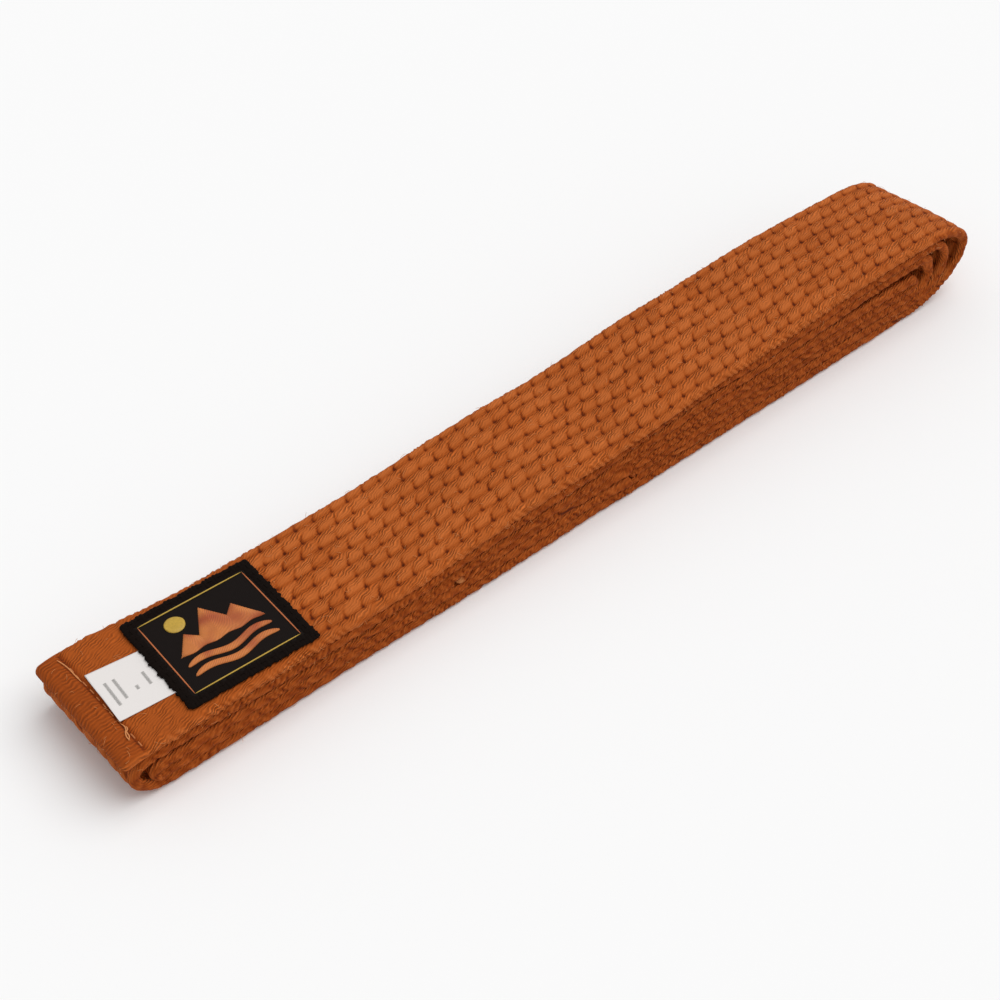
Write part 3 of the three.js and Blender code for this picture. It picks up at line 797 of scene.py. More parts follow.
def bands(tree, vector, pitch_m, direction, **shape):
    """Stripes across a direction, pitch_m metres apart, with the Wave texture's distortion."""
    inputs = {name.replace("_", " ").title(): value for name, value in shape.items()}
    inputs.update({"Vector": vector, "Scale": 1 / (pitch_m * WAVE_PERIODS)})
    return node(tree, "ShaderNodeTexWave", inputs,
                wave_type="BANDS", bands_direction=direction).outputs["Fac"]


def noise(tree, vector, scale, detail, roughness=0.5):
    """Soft noise, with scale in cells per metre."""
    return node(tree, "ShaderNodeTexNoise", {
        "Vector": vector, "Scale": scale, "Detail": detail, "Roughness": roughness})


def spread(tree, value, low, high, start=0.0, end=1.0):
    """Carries the range from start to end over to the range from low to high."""
    return node(tree, "ShaderNodeMapRange", {
        "Value": value, "From Min": start, "From Max": end, "To Min": low, "To Max": high,
    }).outputs["Result"]


def math_node(tree, operation, *values):
    return node(tree, "ShaderNodeMath", dict(enumerate(values)), operation=operation).outputs[0]


def mixed_colours(tree, share, first, second, blend_type="MIX"):
    """Two colours mixed by share: a colour mix has its colours at inputs 6 and 7."""
    mix = node(tree, "ShaderNodeMix", data_type="RGBA", blend_type=blend_type)
    for value, index in ((share, 0), (first, 6), (second, 7)):
        put(tree, value, mix.inputs[index])
    return mix.outputs[2]


def cloth_uv(tree):
    return node(tree, "ShaderNodeUVMap", uv_map="cloth").outputs["UV"]


def finish(tree, shader, base, height, relief, rough, gloss):
    """Sets the shader's colour, bump (strength, distance), roughness and specular level."""
    put(tree, base, shader.inputs["Base Color"])
    strong, distance = relief
    bump = node(tree, "ShaderNodeBump", {"Height": height, "Strength": strong,
                                         "Distance": distance})
    put(tree, bump.outputs["Normal"], shader.inputs["Normal"])
    shader.inputs["Roughness"].default_value = rough
    shader.inputs["Specular IOR Level"].default_value = gloss


def twill_cover():
    """Cotton and polyester twill, piece-dyed brown and quilted.

    Fine diagonal lines are painted lighter and darker where the cloth turns away, as painted raking
    light over their bump;
    the raised puffs are painted paler as painted highlight with some rubbed dye, and painted shade
    keeps the stitch holes, creases, folds and edges dark and red.
    """
    settings = belt_settings()
    material, tree, shader = new_material("quilted_twill")
    uv = cloth_uv(tree)
    masks = node(tree, "ShaderNodeVertexColor", layer_name="masks")
    split = node(tree, "ShaderNodeSeparateColor", {"Color": masks.outputs["Color"]})
    relief, strand, rib = (split.outputs[k] for k in ("Red", "Green", "Blue"))

    # the yarns wander by up to a millimetre, so no line runs straight for long
    drift = noise(tree, uv, 360.0, 1.0)
    centred = node(tree, "ShaderNodeVectorMath",
                   {0: drift.outputs["Color"], 1: (0.5, 0.5, 0.5)}, operation="SUBTRACT")
    drawn = node(tree, "ShaderNodeVectorMath",
                 {0: centred.outputs["Vector"], 1: (YARN_DRIFT, YARN_DRIFT, 0), 2: uv},
                 operation="MULTIPLY_ADD").outputs["Vector"]
    turned = node(tree, "ShaderNodeMapping", {
        "Vector": drawn, "Rotation": (0, 0, -settings.twill_angle)}).outputs["Vector"]
    lines = bands(tree, turned, settings.twill_pitch, "Y", distortion=2.2, detail=2.0,
                  detail_scale=0.5, detail_roughness=0.5)
    ribs = bands(tree, drawn, HEM_RIB_PITCH, "Y", distortion=3.0, detail=2.0, detail_scale=0.5)
    yarn = noise(tree, turned, 900.0, 2.0, 0.6).outputs["Fac"]
    patches = noise(tree, uv, 330.0, 2.0, 0.55).outputs["Fac"]
    clouds = noise(tree, uv, 55.0, 3.0, 0.6).outputs["Fac"]

    patchy = spread(tree, patches, 0.25, 1.0, 0.40, 0.60)
    strong = math_node(tree, "MULTIPLY", strand, patchy)
    weave = node(tree, "ShaderNodeMix", {"Factor": rib, "A": lines, "B": ribs}).outputs["Result"]
    woven = math_node(tree, "MULTIPLY", weave, strong)
    grain = math_node(tree, "MULTIPLY_ADD", yarn, 0.35, woven)

    # painted shade and highlight: the ramp turns relief into hole and crease colours at the bottom,
    # the flat cloth in the middle and a painted highlight at the top
    ramp = node(tree, "ShaderNodeValToRGB", {"Fac": relief})
    stops = ramp.color_ramp.elements
    stops[0].position = 0.0
    stops[0].color = colour(settings.hole_painted_shade)
    stops[1].position = 0.95
    stops[1].color = colour(settings.cloth_highlight_and_wear)
    stops.new(0.22).color = colour(settings.cloth_painted_shade)
    stops.new(0.5).color = colour(settings.cloth_mid)
    # painted highlight and shade: where the strand mask is strong the twill lines are painted lighter
    # and darker in colour
    lined = spread(tree, weave, 0.58, 1.50)
    line_share = node(tree, "ShaderNodeMix",
                      {"Factor": strong, "A": 1.0, "B": lined}).outputs["Result"]
    cloudy = spread(tree, clouds, 0.93, 1.07, 0.3, 0.7)
    shade = math_node(tree, "MULTIPLY", line_share, cloudy)
    # the ramp's painted shade and highlight and the painted twill lines, multiplied over the cloth's
    # colour
    dyed = mixed_colours(tree, 1.0, ramp.outputs["Color"], shade, "MULTIPLY")
    frayed = mixed_colours(tree, masks.outputs["Alpha"], dyed, colour(settings.loose_thread))
    finish(tree, shader, frayed, grain, (1.0, 0.00034), 0.86, 0.14)
    shader.inputs["IOR"].default_value = 1.46
    shader.inputs["Sheen Weight"].default_value = 0.02
    shader.inputs["Sheen Roughness"].default_value = 0.45
    shader.inputs["Sheen Tint"].default_value = colour(settings.cloth_highlight_and_wear)


def thread_material(name, hex_colour, twist, gloss=0.3, rough=0.62, variation=0.16):
    """Spun or filament thread: a low gloss broken by the twist of its plies."""
    material, tree, shader = new_material(name)
    place = node(tree, "ShaderNodeTexCoord").outputs["Object"]
    plies = noise(tree, place, twist, 2.0, 0.6).outputs["Fac"]
    tone = spread(tree, plies, 1 - variation, 1 + variation, 0.3, 0.7)
    tint = mixed_colours(tree, 1.0, colour(hex_colour), tone, "MULTIPLY")
    finish(tree, shader, tint, plies, (0.5, 0.00008), rough, gloss)
    shader.inputs["Sheen Weight"].default_value = 0.02
    shader.inputs["Sheen Tint"].default_value = colour(hex_colour)


def badge_cloth():
    """Black twill ground of the badge: near-black, with fine steep diagonal lines."""
    material, tree, shader = new_material("badge_cloth")
    uv = cloth_uv(tree)
    turned = node(tree, "ShaderNodeMapping", {
        "Vector": uv, "Rotation": (0, 0, math.radians(52))}).outputs["Vector"]
    lines = bands(tree, turned, 0.00045, "X", distortion=0.8, detail=1.0, detail_scale=0.5)
    fuzz = noise(tree, uv, 700.0, 3.0).outputs["Fac"]
    dark = colour(badge_settings().ground)
    pale = tuple(1.9 * value for value in dark[:3]) + (1.0,)
    woven = math_node(tree, "MULTIPLY", lines, fuzz)
    finish(tree, shader, mixed_colours(tree, woven, dark, pale), woven, (0.6, 0.0001), 0.85, 0.12)


def satin_thread():
    """Rayon embroidery thread laid side by side: fine ribs with a soft silky gloss.

    The colour runs from orange to a deeper red-orange in broad patches, as shaded thread does.
    """
    settings = badge_settings()
    material, tree, shader = new_material("satin_rayon")
    leaning = node(tree, "ShaderNodeMapping", {
        "Vector": cloth_uv(tree), "Rotation": (0, 0, math.radians(18))}).outputs["Vector"]
    ribs = bands(tree, leaning, settings.satin_pitch, "X",
                 distortion=0.9, detail=1.0, detail_scale=0.6)
    place = node(tree, "ShaderNodeTexCoord").outputs["Object"]
    shading = noise(tree, place, 130.0, 1.0).outputs["Fac"]
    share = spread(tree, shading, 0.0, 1.0, 0.48, 0.7)
    mix = mixed_colours(tree, share, colour(settings.satin), colour(settings.satin_deep))
    tint = mixed_colours(tree, 1.0, mix, spread(tree, ribs, 0.72, 1.12), "MULTIPLY")
    finish(tree, shader, tint, ribs, (0.7, 0.00012), 0.5, 0.4)


def woven_tape():
    """White polyester tape, woven fine: a faint grid of yarns and an even, soft white."""
    material, tree, shader = new_material("woven_tape")
    uv = cloth_uv(tree)
    grid = math_node(tree, "MULTIPLY", bands(tree, uv, 0.00022, "X"), bands(tree, uv, 0.00030, "Y"))
    soft = noise(tree, uv, 240.0, 2.0).outputs["Fac"]
    both = math_node(tree, "MULTIPLY_ADD", soft, 0.12, grid)
    tone = spread(tree, both, 0.94, 1.03, 0.0, 1.4)
    tint = mixed_colours(tree, 1.0, colour(badge_settings().tape), tone, "MULTIPLY")
    finish(tree, shader, tint, grid, (0.25, 0.00005), 0.6, 0.3)


def give(made, material):
    """Gives a piece its material."""
    made.data.materials.append(material)
    return made


# ---- Pieces of the strip ----

EDGE_POINTS = 12
END_STEPS = (0.004, 0.03, 0.1, 0.22, 0.4, 0.75, 1.1)  # rings that round off an end, in mm
END_REACH = 1.3
TAGGED_STEP = 0.56
ROLLED_STEP = 0.85
CUT_LOWER_2 = 150.0  # distance along lower_2 at which one length goes on into the next
CUT_LOWER_3 = 60.0


def strip_piece(name, start, end, step, top_step, bottom_step):
    """A length of the strip as one closed mesh."""
    across, angle, around = section(top_step, EDGE_POINTS, bottom_step)
    s = np.linspace(start, end, int((end - start) / step) + 1)
    for limit, sign in ((0.0, 1), (ALONG[-1], -1)):
        if abs((start if sign > 0 else end) - limit) < 1e-3:
            close = limit + sign * np.array(END_STEPS)
            s = np.unique(np.concatenate([s[np.abs(s - limit) > END_REACH], close]))
    grid, masks = strip_surface(s, across, angle, around)
    return tube(name, grid, s, around, masks)


class BELT_OT_tagged_length(bpy.types.Operator):
    """Make the outer run with the hem, and the outer far bend that it lifts about"""

    bl_idname = "belt.tagged_length"
    bl_label = "Tagged length"

    def execute(self, context):
        made = strip_piece("cover_tagged_length", 0.0, MARKS["foot"], TAGGED_STEP, 0.46, 0.9)
        give(made, bpy.data.materials["quilted_twill"])
        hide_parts("cover_tagged_run", "core_tagged_run",
                    "cover_outer_bend", "core_outer_bend")
        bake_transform(made)
        return {"FINISHED"}


class BELT_OT_rolled_length(bpy.types.Operator):
    """Make the rest of the strip, wound inside the outer run"""

    bl_idname = "belt.rolled_length"
    bl_label = "Rolled length"

    def execute(self, context):
        cuts = [MARKS["foot"], MARKS["lower_2"] + CUT_LOWER_2,
                MARKS["lower_3"] + CUT_LOWER_3, ALONG[-1]]
        names = ["cover_rolled_outer", "cover_rolled_middle", "cover_rolled_inner"]
        fine = [0.9, 0.95, 0.95]
        for name, start, end, across in zip(names, cuts, cuts[1:], fine):
            made = strip_piece(name, start, end, ROLLED_STEP, across, across)
            give(made, bpy.data.materials["quilted_twill"])
            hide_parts("cover_rolled_length", "core_rolled_length")
            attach(made, PACKET)
        return {"FINISHED"}


# ---- Threads along the strip ----

STITCH_RADIUS = 0.19
STITCH_STEPS = 7
LEFT = np.array([0.0, 1.0, 0.0])
FORWARD = np.array([1.0, 0.0, 0.0])


def face_place(s, y, above, face=1):
    """Points above a face of the strip at distances s and places across y, in millimetres."""
    shape = np.shape(s)
    s = np.ravel(s)
    point, outward, thick = line_at(s)
    o = face * (thick / 2 - SKIN + np.ravel(np.broadcast_to(above, shape)))
    y = np.ravel(np.broadcast_to(y, shape)) + sideways(s)
    x = point[:, 0] + outward[:, 0] * o
    z = settle(x, y, point[:, 1] + outward[:, 1] * o - droop(s))
    return np.column_stack([x + X_TAG, y, z]).reshape(*shape, 3)


def stitch_row(row, start, end, faces=(1,)):
    """Paths of one row's stitches: each dips into the holes at its ends, as t^4."""
    settings = belt_settings()
    holes = hole_places(row)
    holes = holes[(holes > start) & (holes < end)]
    t = np.linspace(-1, 1, STITCH_STEPS)
    centre, half = (holes[1:] + holes[:-1]) / 2, np.diff(holes) / 2 - 0.45
    s = centre[:, None] + half[:, None] * t
    line = (row - (ROWS - 1) / 2) * settings.row_pitch / MM
    y = line - row_wander(s, line)
    above = -0.4 * settings.groove_depth / MM + 0.03 - 0.3 * t ** 4
    return np.concatenate([face_place(s, y, np.broadcast_to(above, s.shape), f) for f in faces])


class BELT_OT_quilting_stitches(bpy.types.Operator):
    """Make the eight rows of stitches that quilt the outer run and its far bend"""

    bl_idname = "belt.quilting_stitches"
    bl_label = "Quilting stitches"

    def execute(self, context):
        material = bpy.data.materials["quilting_cotton"]
        for row in range(ROWS):
            paths = stitch_row(row, PLAIN_END + 0.5, MARKS["foot"] - 1)
            made = tubes(f"quilting_stitches_{row + 1}", paths, STITCH_RADIUS, 6, LEFT, 0.8)
            give(made, material)
            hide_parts(f"quilting_row_{row + 1}")
            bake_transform(made)
        return {"FINISHED"}


class BELT_OT_rolled_stitches(bpy.types.Operator):
    """Make the stitches of the rolled length where it shows: the outer turn and the run above"""

    bl_idname = "belt.rolled_stitches"
    bl_label = "Rolled stitches"

    def execute(self, context):
        paths = np.concatenate([
            stitch_row(row, MARKS["foot"] + 2, MARKS["lower_2"]) for row in range(ROWS)])
        made = tubes("rolled_stitches", paths, STITCH_RADIUS, 5, LEFT, 0.8)
        give(made, bpy.data.materials["quilting_cotton"])
        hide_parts("cover_rolled_length")
        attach(made, PACKET)
        return {"FINISHED"}


FUZZ_RADIUS = 0.045
FUZZ_STEPS = 5
FUZZ_LENGTHS = (0.8, 2.2)
FUZZ_SEED = 81
FUZZ_BESIDE = (0.31, 0.53, 0.79)  # a direction that hardly any fibre runs along


def fuzz_paths(cover, count, seed):
    """Short curved fibres: each starts at a point of the cover and curls off along its face."""
    mesh = cover.data
    points, normals = np.empty(len(mesh.vertices) * 3), np.empty(len(mesh.vertices) * 3)
    mesh.vertices.foreach_get("co", points)
    mesh.vertices.foreach_get("normal", normals)
    rng = np.random.default_rng(seed)
    chosen = rng.integers(0, len(mesh.vertices), count)
    start = points.reshape(-1, 3)[chosen] / MM
    normal = normals.reshape(-1, 3)[chosen]
    away = np.cross(normal, rng.normal(0, 1, (count, 3)))
    away /= np.linalg.norm(away, axis=1)[:, None]
    curl = np.cross(normal, away) * rng.normal(0, 0.5, (count, 1))
    length = rng.uniform(*FUZZ_LENGTHS, (count, 1, 1))
    t = np.linspace(0, 1, FUZZ_STEPS)[None, :, None]
    lift = 0.05 + 0.25 * np.sin(math.pi * t)
    paths = start[:, None] + length * t * (away[:, None] + curl[:, None] * t)
    paths = paths + normal[:, None] * lift
    paths[..., 2] = np.maximum(paths[..., 2], FUZZ_RADIUS + FLOOR_CLEARANCE)
    return paths


class BELT_OT_fuzz(bpy.types.Operator):
    """Make the loose fibres that stand off the cloth"""

    bl_idname = "belt.fuzz"
    bl_label = "Fuzz"

    def execute(self, context):
        for name, cover_name, count in (("fuzz_tagged", "cover_tagged_length", 700),
                                        ("fuzz_rolled", "cover_rolled_outer", 900)):
            paths = fuzz_paths(bpy.data.objects[cover_name], count, FUZZ_SEED)
            made = tubes(name, paths, FUZZ_RADIUS, 4, FUZZ_BESIDE)
            give(made, bpy.data.materials["loose_cotton"])
            if cover_name == "cover_tagged_length":
                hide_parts("cover_tagged_run")
                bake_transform(made)
            else:
                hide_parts("cover_rolled_length")
                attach(made, PACKET)
        return {"FINISHED"}


HEM_STITCH = 3.1
SEAM_MARGIN = 2.2  # the hem's seam stops this far from the long edges
MOST_HEM_HOLES = 12
TAIL_RADIUS = 0.17


def on_run(x, y, above):
    """Points above the tagged run's outer face at packet places x and y."""
    x, y, above = np.broadcast_arrays(x, y, above)
    return face_place(x, y, above + hem_height(np.ravel(x)).reshape(x.shape))


class BELT_OT_hem_thread(bpy.types.Operator):
    """Make the hem's row of stitches and the two loose ends of its thread"""

    bl_idname = "belt.hem_thread"
    bl_label = "Hem thread"

    def execute(self, context):
        rng = np.random.default_rng(61)
        edge = BELT_WIDTH / 2 - SEAM_MARGIN
        even = np.arange(-edge, edge, HEM_STITCH)
        holes = even + rng.normal(0, 0.12, MOST_HEM_HOLES)[:len(even)]
        t = np.linspace(-1, 1, STITCH_STEPS)
        y = ((holes[1:] + holes[:-1]) / 2)[:, None] + (np.diff(holes) / 2 - 0.4)[:, None] * t
        x = HEM_DEPTH + rng.normal(0, 0.08, (len(y), 1)) + 0.08 * np.sin(y / 3)
        paths = on_run(x, y, 0.12 - 0.3 * t ** 4)
        seam = tubes("hem_stitches", paths, 0.22, 7, FORWARD, 0.85)
        give(seam, bpy.data.materials["hem_cotton"])
        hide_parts("hem_seam_tagged_end")
        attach(seam, TAGGED)

        t = np.linspace(0, 1, 36)
        back = on_run(HEM_DEPTH - 1.5 + 1.5 * t + 0.25 * np.sin(5 * t),
                      19.0 - 9.8 * t, 0.36 + 0.25 * np.sin(math.pi * t) ** 2)
        first = on_run(HEM_DEPTH - 0.1 - 1.2 * t + 0.5 * np.sin(6 * t),
                       -8.2 - 6.6 * t, 0.30 + 0.35 * np.sin(math.pi * t))
        second = on_run(HEM_DEPTH + 0.1 - 2.0 * t ** 2 + 0.3 * np.sin(9 * t),
                        -9.6 - 5.0 * t, 0.34 + 0.5 * np.sin(math.pi * t))
        for name, paths in (("back", [back]), ("front", [first, second])):
            tail = tubes(f"loose_thread_{name}", np.stack(paths), TAIL_RADIUS, 7, FORWARD)
            give(tail, bpy.data.materials["loose_cotton"])
            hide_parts(f"hem_thread_tail_{name}")
            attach(tail, TAGGED)
        return {"FINISHED"}


# ---- Size tag ----

# corners of the tag: x from the tagged end, y from the belt's middle
TAG_CORNERS = np.array([[6.9, -8.0], [25.0, -9.4], [25.0, 8.2], [8.2, 10.3]])
TAG_SHEET = 0.14
BARS = ((10.2, 0.6, 8.6), (12.6, 0.9, 7.4), (16.2, -1.4, 1.5), (19.6, -0.4, 4.6))


def slab(name, x, y, low, high, uv_scale=1.0):
    """A closed sheet: x, y, low and high are rows x columns; its underside is the low surface."""
    top = np.stack([x, y, high], axis=-1)
    bottom = np.stack([x, y, low], axis=-1)[:, ::-1]
    grid = np.concatenate([top, bottom], axis=1)
    rows_uv = np.concatenate([[0], np.cumsum(np.linalg.norm(
        np.diff(top[:, top.shape[1] // 2], axis=0), axis=1))]) * uv_scale
    ring = np.vstack([grid[len(grid) // 2], grid[len(grid) // 2][:1]])
    around = np.concatenate([[0], np.cumsum(np.linalg.norm(np.diff(ring, axis=0), axis=1))])
    return tube(name, grid, rows_uv, around * uv_scale)


def tag_lie(u, v):
    """Height of the tag's underside: a slack ripple, lifting a little at the hem's end."""
    return FACE_Z + 0.16 + 0.09 * np.sin(3.1 * u + 1.0) * np.sin(2.6 * v) + 0.10 * (1 - u) ** 3


class BELT_OT_size_tag(bpy.types.Operator):
    """Make the white woven size tag, tucked under the badge, with plain woven bars"""

    bl_idname = "belt.size_tag"
    bl_label = "Size tag"

    def execute(self, context):
        u, v = np.meshgrid(np.linspace(0, 1, 40), np.linspace(0, 1, 40), indexing="ij")
        a, b, c, d = (TAG_CORNERS[k][:, None, None] for k in range(4))
        x, y = a * (1 - u) * (1 - v) + b * u * (1 - v) + c * u * v + d * (1 - u) * v
        x = x + 0.12 * np.sin(5 * v) * (1 - u)
        lie = tag_lie(u, v)
        tag = slab("tag_tape", x + X_TAG, y, lie, lie + TAG_SHEET)
        give(tag, bpy.data.materials["woven_tape"])
        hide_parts("size_tag")
        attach(tag, TAGGED)

        paths = []
        for centre_x, centre_y, length in BARS:
            y = np.arange(-length / 2, length / 2, 0.3) + centre_y
            y = np.broadcast_to(y[:, None], (len(y), 5))
            x = centre_x + np.linspace(-0.5, 0.5, 5)[None, :] + 0.07 * (y - centre_y)
            u, v = (x - 7.5) / 17.5, (y + 8.6) / 18.0
            z = tag_lie(u, v) + TAG_SHEET + 0.03
            paths.append(np.stack([x + X_TAG, y, z], axis=-1))
        bars = tubes("tag_bars", np.concatenate(paths), 0.13, 6, LEFT, 0.6)
        give(bars, bpy.data.materials["bar_filament"])
        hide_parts("size_tag")
        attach(bars, TAGGED)
        return {"FINISHED"}


# ---- Badge ----

BADGE_BASE = 0.38  # the badge's underside above the belt's outer face
BADGE_CORNER = 0.7
BADGE_X = (BORDER_LOW.x + BORDER_HIGH.x) / 2 / MM
BADGE_Y = (BORDER_LOW.y + BORDER_HIGH.y) / 2 / MM
BADGE_HALF_X = (BORDER_HIGH.x - BORDER_LOW.x) / 2 / MM
BADGE_HALF_Y = (BORDER_HIGH.y - BORDER_LOW.y) / 2 / MM
GROUND_THICKNESS = 0.5
BADGE_TURN = math.radians(-2.3)
PEAKS = ((-12.5, 0.0), (-7.75, 6.9), (-4.75, 4.0), (0.0, 12.5), (4.5, 5.6), (7.5, 8.5),
         (12.5, 0.0))
PEAKS_BASE = -2.2
SUN = (-7.8, 8.9, 2.8)
WAVES = (-5.6, -9.2)
WAVE_LENGTH, WAVE_WIDTH, WAVE_SWELL = 25.0, 2.2, 0.9


def on_badge(x, y):
    """Turns badge places about the badge's middle by the angle it was sewn on at."""
    turned_x = x * math.cos(BADGE_TURN) - y * math.sin(BADGE_TURN)
    turned_y = x * math.sin(BADGE_TURN) + y * math.cos(BADGE_TURN)
    return turned_x + BADGE_X, turned_y + BADGE_Y


def rounded_path(half_x, half_y, radius, step):
    """A rounded rectangle round the badge's middle: points, outward directions, distances."""
    straight_x, straight_y = 2 * (half_x - radius), 2 * (half_y - radius)
    arc = radius * math.pi / 2
    lengths = np.array([straight_x, arc, straight_y, arc] * 2)
    starts = np.concatenate([[0], np.cumsum(lengths)])
    u = np.linspace(0, starts[-1], int(starts[-1] / step), endpoint=False)
    part = np.searchsorted(starts, u, side="right") - 1
    turn = np.where(part % 2 == 1, (u - starts[part]) / radius, 0) + (part // 2) * math.pi / 2
    turn = turn - math.pi / 2
    normal = np.column_stack([np.cos(turn), np.sin(turn)])
    along = np.column_stack([-normal[:, 1], normal[:, 0]])
    corner_x = np.array([0, 1, 1, 1, 0, -1, -1, -1])[part] * (half_x - radius)
    corner_y = np.array([-1, -1, 0, 1, 1, 1, 0, -1])[part] * (half_y - radius)
    offset = np.where(part % 2 == 0, u - starts[part] - lengths[part] / 2, 0)
    centre = np.column_stack([corner_x, corner_y])
    return centre + normal * radius + along * offset[:, None], normal, u


def ring_tube(name, path, normal, u, section_out, section_up):
    """A closed ring: sections (rows x columns, outward and up) carried round a closed path."""
    rows, columns = section_out.shape
    x, y = on_badge(path[:, 0, None] + normal[:, 0, None] * section_out,
                    path[:, 1, None] + normal[:, 1, None] * section_out)
    points = np.stack([x, y, section_up], axis=-1).reshape(-1, 3)
    i, j = np.meshgrid(np.arange(rows), np.arange(columns), indexing="ij")
    k, n = (j + 1) % columns, (i + 1) % rows
    quads = np.stack([i * columns + j, n * columns + j, n * columns + k, i * columns + k],
                     axis=-1).reshape(-1, 4)
    step = u[1] - u[0]
    round_about = np.linspace(0, 9.0, columns + 1)
    uv = np.stack([
        np.stack([u[i], u[i] + step, u[i] + step, u[i]], axis=-1),
        np.stack([round_about[j], round_about[j], round_about[j + 1], round_about[j + 1]],
                 axis=-1)], axis=-1).reshape(-1, 2)
    if signed_volume(points, quads) < 0:
        quads, uv = quads[:, ::-1], uv.reshape(-1, 4, 2)[:, ::-1].reshape(-1, 2)
    return mesh_from(name, points, [quads], uv)


def badge_height(x, y):
    """The badge's slight doming: it is pressed flat along its edge."""
    return 0.12 * (1 - (x / BADGE_HALF_X) ** 4) * (1 - (y / BADGE_HALF_Y) ** 4)


def satin_patch(name, x, low, high, across):
    """A satin-stitched patch between two outlines, thickest in the middle: h (1 - v^4).

    x runs along the patch, low and high are its two outlines there.
    """
    v = np.linspace(-1, 1, across)
    centre, half = (low + high) / 2, np.maximum((high - low) / 2, 0.03)
    xx = np.broadcast_to(x[:, None], (len(x), across))
    yy = centre[:, None] + half[:, None] * v
    base = FACE_Z + BADGE_BASE + GROUND_THICKNESS + badge_height(xx, yy)
    dome = 0.38 * (1 - np.abs(v) ** 4)[None, :] * np.clip(half / 0.8, 0, 1)[:, None]
    return slab(name, *on_badge(xx, yy), base - 0.05, base + 0.04 + dome)


class BELT_OT_badge(bpy.types.Operator):
    """Make the badge: its ground, overlocked border and seam"""

    bl_idname = "belt.badge"
    bl_label = "Badge"

    def execute(self, context):
        settings = badge_settings()
        base = FACE_Z + BADGE_BASE
        inset = 1.4
        half_x, half_y = BADGE_HALF_X - inset, BADGE_HALF_Y - inset
        x, y = np.meshgrid(np.linspace(-half_x, half_x, 90), np.linspace(-half_y, half_y, 80),
                           indexing="ij")
        rise = badge_height(x, y) + 0.03 * np.sin(x / 2.3 + 1) * np.cos(y / 3.1)
        ground = slab("badge_cloth", *on_badge(x, y), base + 0 * x,
                      base + GROUND_THICKNESS + rise)
        give(ground, bpy.data.materials["badge_cloth"])
        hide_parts("badge_ground")
        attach(ground, TAGGED)

        rng = np.random.default_rng(71)
        width = settings.border_width / MM
        path, normal, u = rounded_path(BADGE_HALF_X, BADGE_HALF_Y, BADGE_CORNER, 0.13)
        pitch_now = settings.overlock_pitch / MM
        count = int(u[-1] / pitch_now)
        share = u / (u[-1] + u[1]) * count
        thread = np.floor(share).astype(int) % count
        bulge = np.abs(np.sin(math.pi * share)) ** 0.7
        longer, fatter = rng.normal(0, 0.3, count)[thread], rng.uniform(0.6, 1.3, count)[thread]
        turn = np.linspace(0, 2 * math.pi, 22, endpoint=False)
        outer = 0.05 + 0.10 * bulge + longer * bulge * 0.8
        inner = -width + 0.25 * rng.normal(0, 1, count)[thread] * bulge
        out = ((outer + inner) / 2)[:, None] + ((outer - inner) / 2)[:, None] * power(
            np.cos(turn), 0.75)[None, :]
        tall = 0.44 + 0.16 * bulge * fatter
        up = base + 0.28 + np.where(np.sin(turn) > 0, tall[:, None], 0.34) * power(
            np.sin(turn), 0.8)[None, :]
        border = ring_tube("badge_border", path, normal, u, out, up)
        give(border, bpy.data.materials["overlock_filament"])
        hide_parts("badge_overlocked_border")
        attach(border, TAGGED)

        inset = (BORDER_HIGH.x - SEAM_INSET.x) / MM
        path, normal, u = rounded_path(BADGE_HALF_X - inset, BADGE_HALF_Y - inset, 1.0, 0.1)
        t = np.linspace(-1, 1, STITCH_STEPS)
        places = np.arange(0.5, u[-1] - 3, 3.0)
        w = places[:, None] + 1.3 + 1.05 * t
        x, y = on_badge(np.interp(w, u, path[:, 0]), np.interp(w, u, path[:, 1]))
        z = np.broadcast_to(base + 0.86 - 0.28 * t ** 4, w.shape)
        paths = np.stack([x, y, z], axis=-1)
        seam = tubes("badge_stitches", paths, 0.17, 6, FORWARD + 0.3 * LEFT, 0.9)
        give(seam, bpy.data.materials["overlock_filament"])
        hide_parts("badge_seam")
        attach(seam, TAGGED)
        return {"FINISHED"}


class BELT_OT_frame_line(bpy.types.Operator):
    """Make the thin metallic line round the motif, in two colours of thread"""

    bl_idname = "belt.frame_line"
    bl_label = "Frame line"

    def execute(self, context):
        low_x, high_x = LINE_LOW.x / MM - BADGE_X + 0.3, LINE_HIGH.x / MM - BADGE_X - 0.3
        low_y, high_y = LINE_LOW.y / MM - BADGE_Y + 0.3, LINE_HIGH.y / MM - BADGE_Y - 0.3
        t = np.linspace(0, 1, 60)
        for name, corners in (
                ("gold", (((low_x, low_y), (high_x, low_y)), ((low_x, high_y), (high_x, high_y)))),
                ("copper", (((low_x, low_y), (low_x, high_y)),
                            ((high_x, low_y), (high_x, high_y))))):
            paths = []
            for (x0, y0), (x1, y1) in corners:
                x, y = x0 + (x1 - x0) * t, y0 + (y1 - y0) * t
                z = FACE_Z + BADGE_BASE + GROUND_THICKNESS + badge_height(x, y) + 0.1
                paths.append(np.column_stack([*on_badge(x, y), z]))
            side = LEFT if name == "gold" else FORWARD
            made = tubes(f"frame_line_{name}", np.stack(paths), 0.2, 8, side, 0.8)
            give(made, bpy.data.materials[f"{name}_filament"])
            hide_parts("badge_frame_line")
            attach(made, TAGGED)
        return {"FINISHED"}


